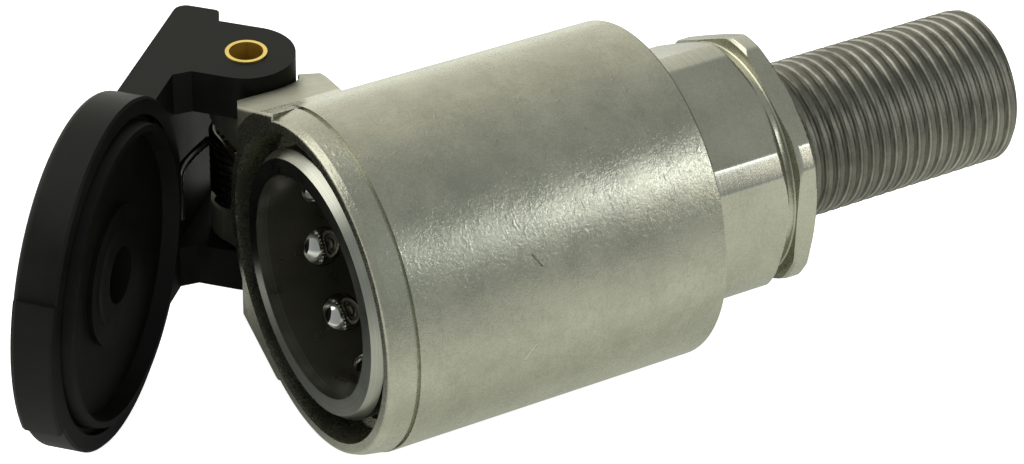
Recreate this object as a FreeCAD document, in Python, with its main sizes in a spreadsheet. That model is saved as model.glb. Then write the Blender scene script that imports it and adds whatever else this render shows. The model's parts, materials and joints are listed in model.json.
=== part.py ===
import FreeCAD, Part
import Sketcher
import math
import os
import re

# Hydraulic quick coupler: ball lock socket with a hinged dust cap and a male pipe thread.
# The coupler's axis is X, the mouth lies at x = 0 and the thread points along +X.
# The cap's hinge stands on the +Y side and its axis is parallel to Z.

# Sizes in millimetres and degrees: alias, value, what it measures
SIZES = (
    ("body_radius", 17.4, "outside of the socket body"),
    ("spring_room", 3.5, "room for the sleeve spring round the body"),
    ("sleeve_wall", 1.35, "wall of the sleeve"),
    ("collar_step", 0.15, "collar below the sleeve"),
    ("collar_taper", 0.4, "taper of the collar over its length"),
    ("lip_taper", 0.4, "taper of the mouth's lip"),
    ("lip_wall", 1.3, "wall of the lip at its face"),
    ("lip_round", 1.0, "length over which the lip widens"),
    ("mouth_depth", 5.2, "length of the mouth's bore"),
    ("mouth_taper", 1.2, "length of the chamfer behind the mouth's bore"),
    ("collar_length", 3.4, "length of the collar"),
    ("collar_groove_width", 0.5, "turned line between collar and sleeve"),
    ("collar_groove_depth", 0.3, "depth of that line"),
    ("sleeve_overlap", 3.7, "sleeve past the socket body's rear"),
    ("front_edge_round", 0.45, "rounding of the front edges of lip and lug"),
    ("sleeve_rear_round", 0.35, "rounding of the sleeve's rear edge"),
    ("ball_diameter", 6.0, "locking ball"),
    ("ball_station", 9.0, "mouth to the balls' centres"),
    ("ball_reach", 1.59, "locked balls into the bore"),
    ("first_ball_angle", -19.8, "angle of the first ball from +Y"),
    ("ball_count", 10, "locking balls"),
    ("pocket_play", 0.06, "radial play of a ball in its pocket"),
    ("cone_slope", 0.32, "rise of the locking cone for each millimetre"),
    ("cone_play", 0.18, "radial play between ball and cone"),
    ("nose_face", 0.2, "front face of the socket body"),
    ("nose_chamfer", 1.3, "length of the nose's outer chamfer"),
    ("nose_chamfer_height", 0.9, "height of that chamfer"),
    ("body_wall", 3.05, "wall of the body round the plug's shoulder"),
    ("probe_bore_length", 4.5, "balls to the end of the bore for the plug's shoulder"),
    ("probe_step", 2.35, "step down to the bore for the plug's probe"),
    ("probe_taper", 1.5, "length of that step"),
    ("throat_step", 3.0, "step down to the opening that the poppet closes"),
    ("throat_gap", 0.6, "seal groove to the throat"),
    ("throat_length", 0.7, "length of the throat"),
    ("chamber_wall", 2.4, "spigot's bore to the chamber round the poppet"),
    ("chamber_length", 9.8, "valve seat to the chamber's rear end"),
    ("spigot_wall", 2.4, "wall of the body round the spigot"),
    ("spigot_length", 10.5, "spigot of the hexagon piece"),
    ("spigot_play", 0.02, "radial play of the spigot"),
    ("spigot_gap", 0.2, "axial gap before the spigot"),
    ("seal_land", 2.6, "bore before the probe seal's groove"),
    ("seal_groove_width", 4.3, "width of that groove"),
    ("seal_groove_depth", 2.3, "depth of that groove"),
    ("probe_ring_wire", 2.5, "section of the probe O-ring"),
    ("probe_ring_play", 0.1, "gap round the probe O-ring in its groove"),
    ("backup_width", 1.3, "width of the backup ring"),
    ("stop_ring_offset", 8.0, "balls to the snap ring on the body"),
    ("stop_ring_width", 1.5, "thickness of the snap ring"),
    ("stop_ring_seat", 0.8, "depth of the snap ring's groove"),
    ("stop_ring_gap", 0.6, "snap ring to the sleeve's bore"),
    ("ring_opening", 14.0, "angle of the gap in each open ring"),
    ("guide_ring_width", 3.3, "width of the sleeve's guide ring"),
    ("guide_ring_gap", 0.2, "guide ring to the hexagon piece's flange"),
    ("guide_ring_play", 0.05, "radial play of the guide ring on the body"),
    ("ring_seat_play", 0.02, "radial play of rings in the sleeve"),
    ("circlip_width", 1.4, "thickness of the circlip"),
    ("circlip_depth", 0.5, "depth of the circlip's groove"),
    ("circlip_height", 1.15, "radial height of the circlip"),
    ("circlip_play", 0.05, "axial play of the circlip in its groove"),
    ("sleeve_spring_wire", 2.2, "wire of the sleeve spring"),
    ("sleeve_spring_play", 0.6, "radial play of the sleeve spring on the body"),
    ("sleeve_spring_turns", 5, "turns of the sleeve spring"),
    ("spring_seat_gap", 0.1, "gap at each end of a spring"),
    ("poppet_reach", 4.7, "poppet's front face before the valve seat"),
    ("poppet_nose_gap", 2.0, "poppet's nose to the throat"),
    ("poppet_nose_chamfer", 0.8, "chamfer of the poppet's nose"),
    ("poppet_gap", 1.2, "poppet's head to the chamber"),
    ("poppet_head_length", 4.8, "valve seat to the rear face of the poppet's head"),
    ("poppet_cone_lead", 0.8, "poppet's cone before the valve seat"),
    ("seat_gap", 0.3, "poppet's cone to the valve seat"),
    ("seal_seat_gap", 0.03, "rubber ring to the valve seat"),
    ("poppet_seal_offset", 0.5, "rubber ring behind the front of the seat"),
    ("poppet_seal_width", 1.5, "width of the rubber ring"),
    ("poppet_seal_depth", 0.2, "rubber ring's bore below the throat"),
    ("stem_radius", 3.0, "stem of the poppet"),
    ("stem_proud", 1.0, "stem past the guide's shoulder"),
    ("stem_play", 0.05, "radial play of the stem in its guide"),
    ("poppet_spring_wire", 1.4, "wire of the poppet spring"),
    ("poppet_spring_play", 0.9, "poppet spring's bore past the guide's hub"),
    ("poppet_spring_turns", 5, "turns of the poppet spring"),
    ("guide_setback", 0.5, "guide's shoulder before the body's rear"),
    ("guide_width", 2.0, "thickness of the poppet's guide"),
    ("guide_ring_wall", 1.6, "rim of the poppet's guide"),
    ("guide_hub_wall", 2.6, "wall of the guide's hub"),
    ("guide_hub_extra", 1.5, "hub behind the guide's rim"),
    ("guide_arm_width", 3.2, "arm of the poppet's guide"),
    ("guide_seat_play", 0.03, "radial play of the guide in its bore"),
    ("flange_gap", 1.9, "flange to the sleeve's bore"),
    ("flange_width", 2.5, "flange that stops the guide ring"),
    ("hex_across_flats", 32.0, "hexagon, flat to flat"),
    ("hex_corner_height", 1.6, "turned corners of the hexagon above its flats"),
    ("hex_corner_angle", 30.4, "first corner from +Y"),
    ("hex_length", 13.0, "long hexagon"),
    ("hex_chamfer", 1.3, "length of the cone behind it"),
    ("neck_depth", 0.4, "groove between the two hexagons below the flats"),
    ("neck_width", 1.3, "width of that groove"),
    ("thin_hex_width", 3.1, "thin hexagon"),
    ("thin_hex_chamfer", 0.4, "front chamfer of the thin hexagon"),
    ("shoulder_chamfer", 0.9, "rear chamfer of the thin hexagon"),
    ("shoulder_depth", 0.3, "sealing shoulder's edge below the flats"),
    ("relief_depth", 1.28, "relief before the thread below its outside"),
    ("relief_width", 1.3, "width of the relief"),
    ("thread_diameter", 20.955, "outside of the pipe thread"),
    ("thread_chamfer", 0.4, "chamfer of the thread's end"),
    ("thread_length", 35.95, "sealing shoulder to the thread's end"),
    ("flow_bore_radius", 6.5, "bore through the thread"),
    ("guide_bore_wall", 3.0, "wall of the spigot round the poppet's guide"),
    ("flow_step", 2.0, "shoulder that the guide stands on"),
    ("flow_step_length", 3.5, "bore behind that shoulder"),
    ("flow_taper_length", 3.5, "taper to the flow bore"),
    ("body_ring_wire", 1.6, "section of the body O-ring"),
    ("body_ring_offset", 4.0, "chamber's end to the middle of the body O-ring's groove"),
    ("body_groove_width", 2.2, "width of that groove"),
    ("body_ring_play", 0.03, "gap round the body O-ring"),
    ("hinge_x", 6.5, "hinge axis behind the mouth"),
    ("hinge_height", 6.95, "hinge axis above the sleeve"),
    ("lug_tangent_angle", 66.0, "where the lug's faces leave the collar"),
    ("lug_front_height", 10.7, "top of the lug's front face below the hinge axis"),
    ("lug_nose_x", 3.9, "bend of the lug's front slope before the hinge axis"),
    ("lug_nose_y", 5.2, "that bend below the hinge axis"),
    ("lug_top_x", 1.2, "front of the lug's top before the hinge axis"),
    ("lug_top_y", 1.8, "lug's top below the hinge axis"),
    ("lug_wall_x", 6.9, "rear wall of the lug behind the hinge axis"),
    ("lug_wall_y", 1.3, "top of that wall below the hinge axis"),
    ("lug_rear_x", 8.4, "rearmost point of the lug behind the hinge axis"),
    ("lug_rear_y", 4.1, "that point below the hinge axis"),
    ("lug_under_x", 7.8, "lug below its rearmost point, behind the hinge axis"),
    ("lug_under_y", 6.9, "that point below the hinge axis"),
    ("lug_root_x", 3.8, "rear of the lug at the collar, behind the hinge axis"),
    ("ear_inner", 5.6, "feet of the ears' inner faces from the middle"),
    ("ear_thickness", 4.4, "thickness of the ears at their feet"),
    ("ear_radius", 5.1, "rounded ends of the ears"),
    ("ear_taper", 22.0, "slope of the upper ear's inner face, in degrees"),
    ("ear_foot", 4.4, "foot of that slope below the hinge axis"),
    ("spring_slot_gap", 0.45, "room round the cap's spring"),
    ("spring_slot_floor", 7.2, "floor of the spring's slot below the hinge axis"),
    ("knuckle_radius", 6.3, "rounded ends of the cap's arms"),
    ("knuckle_room", 0.4, "room round the arms' ends"),
    ("tube_diameter", 5.4, "outside of the hinge tube"),
    ("tube_wall", 0.5, "wall of the hinge tube"),
    ("tube_proud", 0.2, "hinge tube past each arm"),
    ("hinge_play", 0.05, "radial play of the tube in the ears"),
    ("arm_gap", 0.3, "arm to ear"),
    ("arm_thickness", 6.0, "thickness of each arm"),
    ("opening_angle", 45.2, "cap's angle from closed, as it rests"),
    ("cap_gap", 0.2, "closed cap to the mouth's face"),
    ("cap_overhang", 0.05, "disc of the cap past the sleeve"),
    ("cap_thickness", 5.66, "thickness of the disc"),
    ("cap_edge_round", 1.0, "rounding of the disc's back edge"),
    ("cap_rim_width", 2.2, "front rim of the disc"),
    ("ridge_gap", 1.0, "ridge's top to the wall of the mouth"),
    ("ridge_width", 0.8, "ridge's top"),
    ("ridge_height", 1.1, "ridge above the front plane"),
    ("ridge_outer_slope", 0.4, "outer foot of the ridge past its top"),
    ("ridge_inner_slope", 0.6, "inner foot of the ridge past its top"),
    ("cap_floor", 1.0, "floor below the front plane"),
    ("cap_base_width", 2.4, "low step round the boss"),
    ("cap_base_depth", 0.3, "that step below the front plane"),
    ("cap_boss_wall", 2.9, "wall of the boss at the cap's middle"),
    ("cap_hole_radius", 3.7, "blind hole in the boss"),
    ("cap_hole_depth", 2.8, "depth of the blind hole"),
    ("thumb_height", 1.0, "thumb edge opposite the hinge past the disc"),
    ("thumb_angle", 48.0, "width of the thumb edge, in degrees"),
    ("arm_length", 14.6, "start of the arms below the hinge axis"),
    ("arm_reach", 8.8, "outer end of the arms above the hinge axis"),
    ("arm_back_round", 1.6, "rounding of the arms' outer corner at the back"),
    ("arm_front_round", 0.8, "rounding of their outer corner at the front"),
    ("arm_step_x", 0.8, "step below the arms' outer end"),
    ("arm_plate", 0.4, "front of the arms on the disc"),
    ("arm_notch", 1.5, "length of the notch before the leg"),
    ("arm_notch_slope", 0.8, "slope of the notch's side"),
    ("web_length", 9.2, "start of the web between the arms, below the hinge axis"),
    ("web_front", 0.9, "front of the web below the front plane"),
    ("cap_spring_wire", 1.1, "wire of the cap's spring"),
    ("cap_spring_play", 1.35, "cap's spring round the hinge tube"),
    ("cap_spring_gap", 0.4, "cap's spring to the ears' feet"),
    ("cap_spring_turns", 8, "turns of the cap's spring"),
    ("leg_gap", 0.05, "gap under the spring's leg"),
)

# Sizes that follow from others: name, sum
SUMS = {
    "sleeve_bore_radius": "body_radius + spring_room",
    "sleeve_radius": "sleeve_bore_radius + sleeve_wall",
    "collar_radius": "sleeve_radius - collar_step",
    "collar_front_radius": "collar_radius - collar_taper",
    "lip_radius": "collar_front_radius - lip_taper",
    "mouth_radius": "lip_radius - lip_wall",
    "sleeve_length": "body_rear + sleeve_overlap",
    "nose_face_radius": "body_radius - nose_chamfer_height",
    "probe_bore_radius": "body_radius - body_wall",
    "probe_bore_end": "ball_station + probe_bore_length",
    "ball_circle_radius": "probe_bore_radius + ball_diameter / 2 - ball_reach",
    "cone_radius": "ball_circle_radius + ball_diameter / 2 + cone_play",
    "seal_bore_radius": "probe_bore_radius - probe_step",
    "seal_bore_start": "probe_bore_end + probe_taper",
    "seal_groove_start": "seal_bore_start + seal_land",
    "seal_groove_end": "seal_groove_start + seal_groove_width",
    "seal_groove_radius": "seal_bore_radius + seal_groove_depth",
    "throat_radius": "seal_bore_radius - throat_step",
    "throat_start": "seal_groove_end + throat_gap",
    "throat_end": "throat_start + throat_length",
    "spigot_radius": "body_radius - spigot_wall",
    "chamber_radius": "spigot_radius - chamber_wall",
    "chamber_end": "throat_end + chamber_length",
    "body_rear": "chamber_end + spigot_length",
    "stop_ring_station": "ball_station + stop_ring_offset",
    "stop_ring_radius": "sleeve_bore_radius - stop_ring_gap",
    "guide_ring_rear": "body_rear - guide_ring_gap",
    "guide_ring_front": "guide_ring_rear - guide_ring_width",
    "circlip_front": "guide_ring_rear + circlip_play",
    "circlip_rear": "circlip_front + 2 * circlip_play + circlip_width",
    "sleeve_spring_radius": "body_radius + sleeve_spring_play + sleeve_spring_wire / 2",
    "poppet_front": "throat_end - poppet_reach",
    "poppet_nose_radius": "throat_radius - poppet_nose_gap",
    "poppet_radius": "chamber_radius - poppet_gap",
    "poppet_head_end": "throat_end + poppet_head_length",
    "poppet_cone_start": "throat_end - poppet_cone_lead",
    "poppet_seal_start": "throat_end + poppet_seal_offset",
    "poppet_seal_radius": "throat_radius - poppet_seal_depth",
    "guide_shoulder": "body_rear - guide_setback",
    "guide_hub_radius": "stem_radius + guide_hub_wall",
    "stem_end": "guide_shoulder + stem_proud",
    "poppet_spring_radius": "guide_hub_radius + poppet_spring_play + poppet_spring_wire / 2",
    "guide_bore_radius": "spigot_radius - guide_bore_wall",
    "flow_step_radius": "guide_bore_radius - flow_step",
    "flow_taper_start": "guide_shoulder + flow_step_length",
    "flow_taper_end": "flow_taper_start + flow_taper_length",
    "body_ring_station": "chamber_end + body_ring_offset",
    "flange_radius": "sleeve_bore_radius - flange_gap",
    "flange_end": "body_rear + flange_width",
    "hex_turned_radius": "hex_across_flats / 2 + hex_corner_height",
    "hex_end": "flange_end + hex_length",
    "neck_radius": "hex_across_flats / 2 - neck_depth",
    "neck_end": "hex_end + hex_chamfer + neck_width",
    "thin_hex_end": "neck_end + thin_hex_width",
    "shoulder_radius": "hex_across_flats / 2 - shoulder_depth",
    "relief_radius": "thread_diameter / 2 - relief_depth",
    "relief_end": "thin_hex_end + relief_width",
    "overall_length": "thin_hex_end + thread_length",
    "hinge_y": "sleeve_radius + hinge_height",
    "lug_width": "2 * collar_radius * sin(lug_tangent_angle)",
    "lug_foot": "collar_radius * cos(lug_tangent_angle)",
    "slot_floor": "hinge_y - spring_slot_floor",
    "ear_outer": "ear_inner + ear_thickness",
    "cap_spring_radius": "tube_diameter / 2 + cap_spring_wire / 2 + cap_spring_play",
    "cap_spring_half": "ear_inner - cap_spring_gap",
    "spring_slot_radius": "cap_spring_radius + cap_spring_wire / 2 + spring_slot_gap",
    "cap_back": "-cap_gap - cap_thickness",
    "cap_face": "-cap_gap",
    "cap_radius": "sleeve_radius + cap_overhang",
    "cap_rim_inner": "cap_radius - cap_rim_width",
    "ridge_top_outer": "mouth_radius - ridge_gap",
    "ridge_top_inner": "ridge_top_outer - ridge_width",
    "ridge_outer": "ridge_top_outer + ridge_outer_slope",
    "ridge_inner": "ridge_top_inner - ridge_inner_slope",
    "cap_boss_radius": "cap_hole_radius + cap_boss_wall",
    "cap_base_radius": "cap_boss_radius + cap_base_width",
    "thumb_radius": "cap_radius + thumb_height",
    "arm_start": "hinge_y - arm_length",
    "arm_end": "hinge_y + arm_reach",
    "web_start": "hinge_y - web_length",
    "knuckle_low": "hinge_y - knuckle_radius",
    "knuckle_high": "hinge_y + knuckle_radius",
}

# Straight runs in each turn of a wire coil
RUNS_PER_TURN = 16

doc = FreeCAD.newDocument("QuickCoupler")
sheet = doc.addObject("Spreadsheet::Sheet", "Sizes")
for row, (alias, value, meaning) in enumerate(SIZES, start=1):
    sheet.set("A%d" % row, meaning)
    sheet.set("B%d" % row, str(value))
    sheet.setAlias("B%d" % row, alias)
doc.recompute()

ALIASES = {alias for alias, value, meaning in SIZES}
parts = []


def cell(word):
    """Write one word of a sum as the sheet knows it."""
    if word in SUMS:
        return "(" + formula(SUMS[word]) + ")"
    return "Sizes." + word if word in ALIASES else word


def formula(text):
    """Write a sum of sizes as an expression on the sheet."""
    return re.sub(r"[a-z_]+", lambda word: cell(word[0]), text)


def number(text):
    """Work out such a sum now."""
    return float(sheet.evalExpression(formula(text)))


def bind(item, name, text):
    """Bind a property of an object to the sheet."""
    item.setExpression(name, formula(text))


def new_body(label):
    """Start a sub-part made of sketches and features."""
    body = doc.addObject("PartDesign::Body", label)
    body.Label = label
    parts.append(body)
    return body


def origin(body, role):
    """Find a plane or an axis of a body by its role."""
    return [item for item in body.Origin.OriginFeatures if item.Role == role][0]


def new_sketch(body, name, plane, height):
    """Lay a sketch on a plane of its body, at a height above it."""
    sketch = body.newObject("Sketcher::SketchObject", name)
    sketch.AttachmentSupport = (origin(body, plane), [""])
    sketch.MapMode = "FlatFace"
    bind(sketch, "AttachmentOffset.Base.z", height)
    return sketch


def place_point(sketch, index, position, across, up):
    """Tie a point of a sketch to the sketch's origin."""
    for kind, text in (("DistanceX", across), ("DistanceY", up)):
        rule = sketch.addConstraint(Sketcher.Constraint(kind, -1, 1, index, position, number(text)))
        bind(sketch, "Constraints[%d]" % rule, text)


def outline(body, name, points, plane="XY_Plane", height="0"):
    """Draw a closed outline of straight edges."""
    sketch = new_sketch(body, name, plane, height)
    corners = [FreeCAD.Vector(number(across), number(up), 0) for across, up in points]
    count = len(corners)
    for index in range(count):
        line = Part.LineSegment(corners[index], corners[(index + 1) % count])
        sketch.addGeometry(line, False)
    for index in range(count):
        sketch.addConstraint(Sketcher.Constraint("Coincident", index, 2, (index + 1) % count, 1))
    for index, (across, up) in enumerate(points):
        place_point(sketch, index, 1, across, up)
    return sketch


def circle(body, name, across, up, radius, plane="XY_Plane", height="0"):
    """Draw a circle."""
    sketch = new_sketch(body, name, plane, height)
    centre = FreeCAD.Vector(number(across), number(up), 0)
    sketch.addGeometry(Part.Circle(centre, FreeCAD.Vector(0, 0, 1), number(radius)), False)
    place_point(sketch, 0, 3, across, up)
    rule = sketch.addConstraint(Sketcher.Constraint("Radius", 0, number(radius)))
    bind(sketch, "Constraints[%d]" % rule, radius)
    return sketch


def turn(body, name, points, kind="Revolution", angle="360"):
    """Turn an outline of (station, radius) points about the coupler's axis."""
    feature = body.newObject("PartDesign::" + kind, name)
    feature.Profile = outline(body, name + "_outline", points)
    feature.ReferenceAxis = (origin(body, "X_Axis"), [""])
    bind(feature, "Angle", angle)
    return feature


def extrude(body, name, sketch, length, kind="Pad", side="Symmetric", turned=False):
    """Pad or pocket a sketch."""
    feature = body.newObject("PartDesign::" + kind, name)
    feature.Profile = sketch
    feature.Type = "Length"
    feature.SideType = side
    feature.Reversed = turned
    bind(feature, "Length", length)
    return feature


def round_edges(body, name, radius, wanted):
    """Round those edges of a body for which wanted(edge) holds."""
    doc.recompute()
    base = body.Tip
    names = ["Edge%d" % (index + 1) for index, edge in enumerate(base.Shape.Edges) if wanted(edge)]
    feature = body.newObject("PartDesign::Fillet", name)
    feature.Base = (base, names)
    bind(feature, "Radius", radius)
    return feature


def turned_edge(edge, station, radius):
    """Say whether an edge is the full circle of a turned corner."""
    curve = edge.Curve
    round_one = isinstance(curve, Part.Circle) and abs(curve.Radius - number(radius)) < 0.001
    return round_one and abs(curve.Center.x - number(station)) < 0.001


def lies_at(edge, axis, place):
    """Say whether a whole edge lies in a plane across an axis."""
    box = edge.BoundBox
    low, high = getattr(box, axis.upper() + "Min"), getattr(box, axis.upper() + "Max")
    return max(abs(low - number(place)), abs(high - number(place))) < 0.001


def stands_at(edge, across, up):
    """Say whether an edge is parallel to Z and stands at a point of the XY plane."""
    box = edge.BoundBox
    at_point = abs(box.Center.x - number(across)) + abs(box.Center.y - number(up)) < 0.001
    return at_point and box.XLength + box.YLength < 0.001


def outside(edge, radius):
    """Say whether an edge's middle lies outside a radius about the coupler's axis."""
    middle = edge.valueAt((edge.FirstParameter + edge.LastParameter) / 2)
    return math.hypot(middle.y, middle.z) > number(radius)


def turned_ring(label, front, rear, inner, outer, angle="360"):
    """Make a plain ring round the coupler's axis."""
    body = new_body(label)
    section = [(front, inner), (front, outer), (rear, outer), (rear, inner)]
    turn(body, label + "_turned", section, angle=angle)
    return body


def o_ring(label, station, mean_radius, wire_radius):
    """Make an O-ring round the coupler's axis."""
    ring = doc.addObject("Part::Torus", label)
    ring.Label = label
    bind(ring, "Radius1", mean_radius)
    bind(ring, "Radius2", wire_radius)
    ring.Placement.Rotation = FreeCAD.Rotation(FreeCAD.Vector(0, 1, 0), 90)
    bind(ring, "Placement.Base.x", station)
    parts.append(ring)
    return ring


def coil(height, turns, mean_radius, wire_radius):
    """Sweep a round wire along a helix of straight runs, which rises along +Z."""
    points = []
    for step in range(int(turns) * RUNS_PER_TURN + 1):
        angle = 2 * math.pi * step / RUNS_PER_TURN
        rise = height * step / (turns * RUNS_PER_TURN)
        points.append(FreeCAD.Vector(mean_radius * math.cos(angle), mean_radius * math.sin(angle), rise))
    section = Part.Wire([Part.makeCircle(wire_radius, points[0], points[1] - points[0])])
    mitred = 1
    return Part.makePolygon(points).makePipeShell([section], True, True, mitred)


def compression_spring(label, front, rear, turns, mean_radius, wire):
    """Make a coil spring round the coupler's axis between two seats."""
    gap = number("spring_seat_gap") + number(wire) / 2
    height = number(rear) - number(front) - 2 * gap
    spring = doc.addObject("Part::Feature", label)
    spring.Label = label
    spring.Shape = coil(height, number(turns), number(mean_radius), number(wire) / 2)
    along_x = FreeCAD.Rotation(FreeCAD.Vector(0, 1, 0), 90)
    spring.Placement = FreeCAD.Placement(FreeCAD.Vector(number(front) + gap, 0, 0), along_x)
    parts.append(spring)
    return spring


def make_housing():
    """Sleeve, collar and hinge lug, one turned and milled piece."""
    body = new_body("housing")
    nose = ("hinge_x - lug_nose_x", "hinge_y - lug_nose_y")
    lug_points = [
        ("0", "lug_foot"),
        ("0", "hinge_y - lug_front_height"),
        nose,
        ("hinge_x - lug_top_x", "hinge_y - lug_top_y"),
        ("hinge_x + lug_wall_x", "hinge_y - lug_wall_y"),
        ("hinge_x + lug_rear_x", "hinge_y - lug_rear_y"),
        ("hinge_x + lug_under_x", "hinge_y - lug_under_y"),
        ("hinge_x + lug_root_x", "lug_foot"),
    ]
    block = outline(body, "lug_outline", lug_points)
    extrude(body, "lug_block", block, "lug_width")
    for side in (1, -1):
        cut_lug_face(body, side)
    ear_points = [
        nose,
        ("hinge_x - ear_radius", "hinge_y"),
        ("hinge_x + ear_radius", "hinge_y"),
        ("hinge_x + lug_wall_x", nose[1]),
    ]
    extrude(body, "ear_legs", outline(body, "ear_outline", ear_points), "2 * ear_outer")
    ear_end = circle(body, "ear_circle", "hinge_x", "hinge_y", "ear_radius")
    extrude(body, "ear_ends", ear_end, "2 * ear_outer")
    for side in (1, -1):
        cut_arm_room(body, side)
    taper_ear(body)
    slot_points = [
        ("-1", "slot_floor"),
        ("hinge_x", "slot_floor"),
        ("hinge_x", "hinge_y + 2 * ear_radius"),
        ("-1", "hinge_y + 2 * ear_radius"),
    ]
    extrude(body, "spring_slot", outline(body, "slot_outline", slot_points), "2 * ear_inner", "Pocket")
    slot_end = circle(body, "slot_circle", "hinge_x", "hinge_y", "spring_slot_radius")
    extrude(body, "spring_room", slot_end, "2 * ear_inner", "Pocket")
    pin_hole = circle(body, "pin_circle", "hinge_x", "hinge_y", "tube_diameter / 2 + hinge_play")
    extrude(body, "pin_hole", pin_hole, "2 * ear_outer + 1", "Pocket")
    turn(body, "shell", [
        ("0", "mouth_radius - 1"),
        ("0", "lip_radius"),
        ("lip_round", "collar_front_radius"),
        ("collar_length", "collar_radius"),
        ("collar_length", "collar_radius - collar_groove_depth"),
        ("collar_length + collar_groove_width", "collar_radius - collar_groove_depth"),
        ("collar_length + collar_groove_width", "sleeve_radius"),
        ("sleeve_length", "sleeve_radius"),
        ("sleeve_length", "mouth_radius - 1"),
    ])
    cone_start = "mouth_depth + mouth_taper"
    cone_end = "ball_station + (sleeve_bore_radius - cone_radius) / cone_slope"
    turn(body, "bore", [
        ("-1", "0"),
        ("-1", "mouth_radius"),
        ("mouth_depth", "mouth_radius"),
        (cone_start, "cone_radius + cone_slope * (%s - ball_station)" % cone_start),
        (cone_end, "sleeve_bore_radius"),
        ("circlip_front", "sleeve_bore_radius"),
        ("circlip_front", "sleeve_bore_radius + circlip_depth"),
        ("circlip_rear", "sleeve_bore_radius + circlip_depth"),
        ("circlip_rear", "sleeve_bore_radius"),
        ("sleeve_length + 1", "sleeve_bore_radius"),
        ("sleeve_length + 1", "0"),
    ], "Groove")
    round_edges(body, "rear_round", "min(sleeve_rear_round; sleeve_wall / 2)",
                lambda edge: turned_edge(edge, "sleeve_length", "sleeve_radius"))
    round_edges(body, "front_round", "front_edge_round",
                lambda edge: lies_at(edge, "x", "0") and outside(edge, "mouth_radius + 0.5"))
    return body


def cut_lug_face(body, side):
    """Plane one side of the lug, tangent to the collar."""
    reach = "2 * hinge_y"
    start = ("lug_foot", "lug_width / 2")
    end_y = "lug_foot + hinge_y * sin(lug_tangent_angle)"
    end_z = "lug_width / 2 - hinge_y * cos(lug_tangent_angle)"
    upright = [start, (end_y, end_z), (end_y, reach), (start[0], reach)]
    points = [(y, "%d * (%s)" % (side, z)) for y, z in upright]
    name = "upper_face" if side > 0 else "lower_face"
    sketch = outline(body, name + "_outline", points, "YZ_Plane")
    extrude(body, name, sketch, "4 * (hinge_x + lug_rear_x)", "Pocket")


def cut_arm_room(body, side):
    """Clear the room in which one arm of the cap swings."""
    depth = "collar_radius"
    height = "ear_outer" if side > 0 else "-ear_outer - " + depth
    name = "upper_arm" if side > 0 else "lower_arm"
    floor = "knuckle_low - knuckle_room"
    points = [("-1", floor), ("hinge_x", floor), ("hinge_x", "2 * hinge_y"), ("-1", "2 * hinge_y")]
    sketch = outline(body, name + "_outline", points, height=height)
    extrude(body, name + "_room", sketch, depth, "Pocket", "One side", turned=True)
    room = "knuckle_radius + knuckle_room"
    end = circle(body, name + "_circle", "hinge_x", "hinge_y", room, height=height)
    extrude(body, name + "_end", end, depth, "Pocket", "One side", turned=True)


def taper_ear(body):
    """Slope the inner face of the upper ear, so that it thins towards its end."""
    foot = "hinge_y - ear_foot"
    top = "hinge_y + 2 * ear_radius"
    wide = "(ear_inner + (ear_foot + 2 * ear_radius) * tan(ear_taper))"
    points = [(foot, "0"), (foot, "ear_inner"), (top, wide), (top, "0")]
    sketch = outline(body, "ear_taper_outline", points, "YZ_Plane")
    extrude(body, "upper_ear_taper", sketch, "2 * (hinge_x + ear_radius)", "Pocket")


def make_socket_body():
    """Inner body with its ball pockets, seal groove, valve seat and chamber."""
    body = new_body("socket_body")
    stop_bottom = "body_radius - stop_ring_seat"
    stop_rear = "stop_ring_station + stop_ring_width"
    turn(body, "socket_turned", [
        ("nose_face", "probe_bore_radius"),
        ("nose_face", "nose_face_radius"),
        ("nose_face + nose_chamfer", "body_radius"),
        ("stop_ring_station", "body_radius"),
        ("stop_ring_station", stop_bottom),
        (stop_rear, stop_bottom),
        (stop_rear, "body_radius"),
        ("body_rear", "body_radius"),
        ("body_rear", "spigot_radius"),
        ("chamber_end", "spigot_radius"),
        ("chamber_end", "chamber_radius"),
        ("throat_end + chamber_radius - throat_radius", "chamber_radius"),
        ("throat_end", "throat_radius"),
        ("throat_start", "throat_radius"),
        ("throat_start", "seal_bore_radius"),
        ("seal_groove_end", "seal_bore_radius"),
        ("seal_groove_end", "seal_groove_radius"),
        ("seal_groove_start", "seal_groove_radius"),
        ("seal_groove_start", "seal_bore_radius"),
        ("seal_bore_start", "seal_bore_radius"),
        ("probe_bore_end", "probe_bore_radius"),
    ])
    for index in range(int(number("ball_count"))):
        drill_ball_pocket(body, index)
    return body


def ball_angle(index):
    """Give the angle of a ball about the axis, from +Y."""
    return "(first_ball_angle + 360 / ball_count * %d)" % index


def drill_ball_pocket(body, index):
    """Drill one radial pocket with a ball end."""
    name = "pocket_%02d" % (index + 1)
    radius = "ball_diameter / 2 + pocket_play"
    for kind, label in (("Sphere", "_end"), ("Cylinder", "_hole")):
        tool = body.newObject("PartDesign::Subtractive" + kind, name + label)
        tool.Placement.Rotation = FreeCAD.Rotation(FreeCAD.Vector(1, 0, 0), 1)
        bind(tool, "Radius", radius)
        bind(tool, "Placement.Base.x", "ball_station")
        bind(tool, "Placement.Base.y", "ball_circle_radius * cos%s" % ball_angle(index))
        bind(tool, "Placement.Base.z", "ball_circle_radius * sin%s" % ball_angle(index))
        bind(tool, "Placement.Rotation.Angle", ball_angle(index) + " - 90")
        if kind == "Cylinder":
            bind(tool, "Height", "ball_diameter")


def make_balls():
    """Locking balls, pressed into the bore by the sleeve's cone."""
    for index in range(int(number("ball_count"))):
        ball = doc.addObject("Part::Sphere", "locking_ball_%02d" % (index + 1))
        ball.Label = ball.Name
        bind(ball, "Radius", "ball_diameter / 2")
        bind(ball, "Placement.Base.x", "ball_station")
        bind(ball, "Placement.Base.y", "ball_circle_radius * cos%s" % ball_angle(index))
        bind(ball, "Placement.Base.z", "ball_circle_radius * sin%s" % ball_angle(index))
        parts.append(ball)


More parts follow.
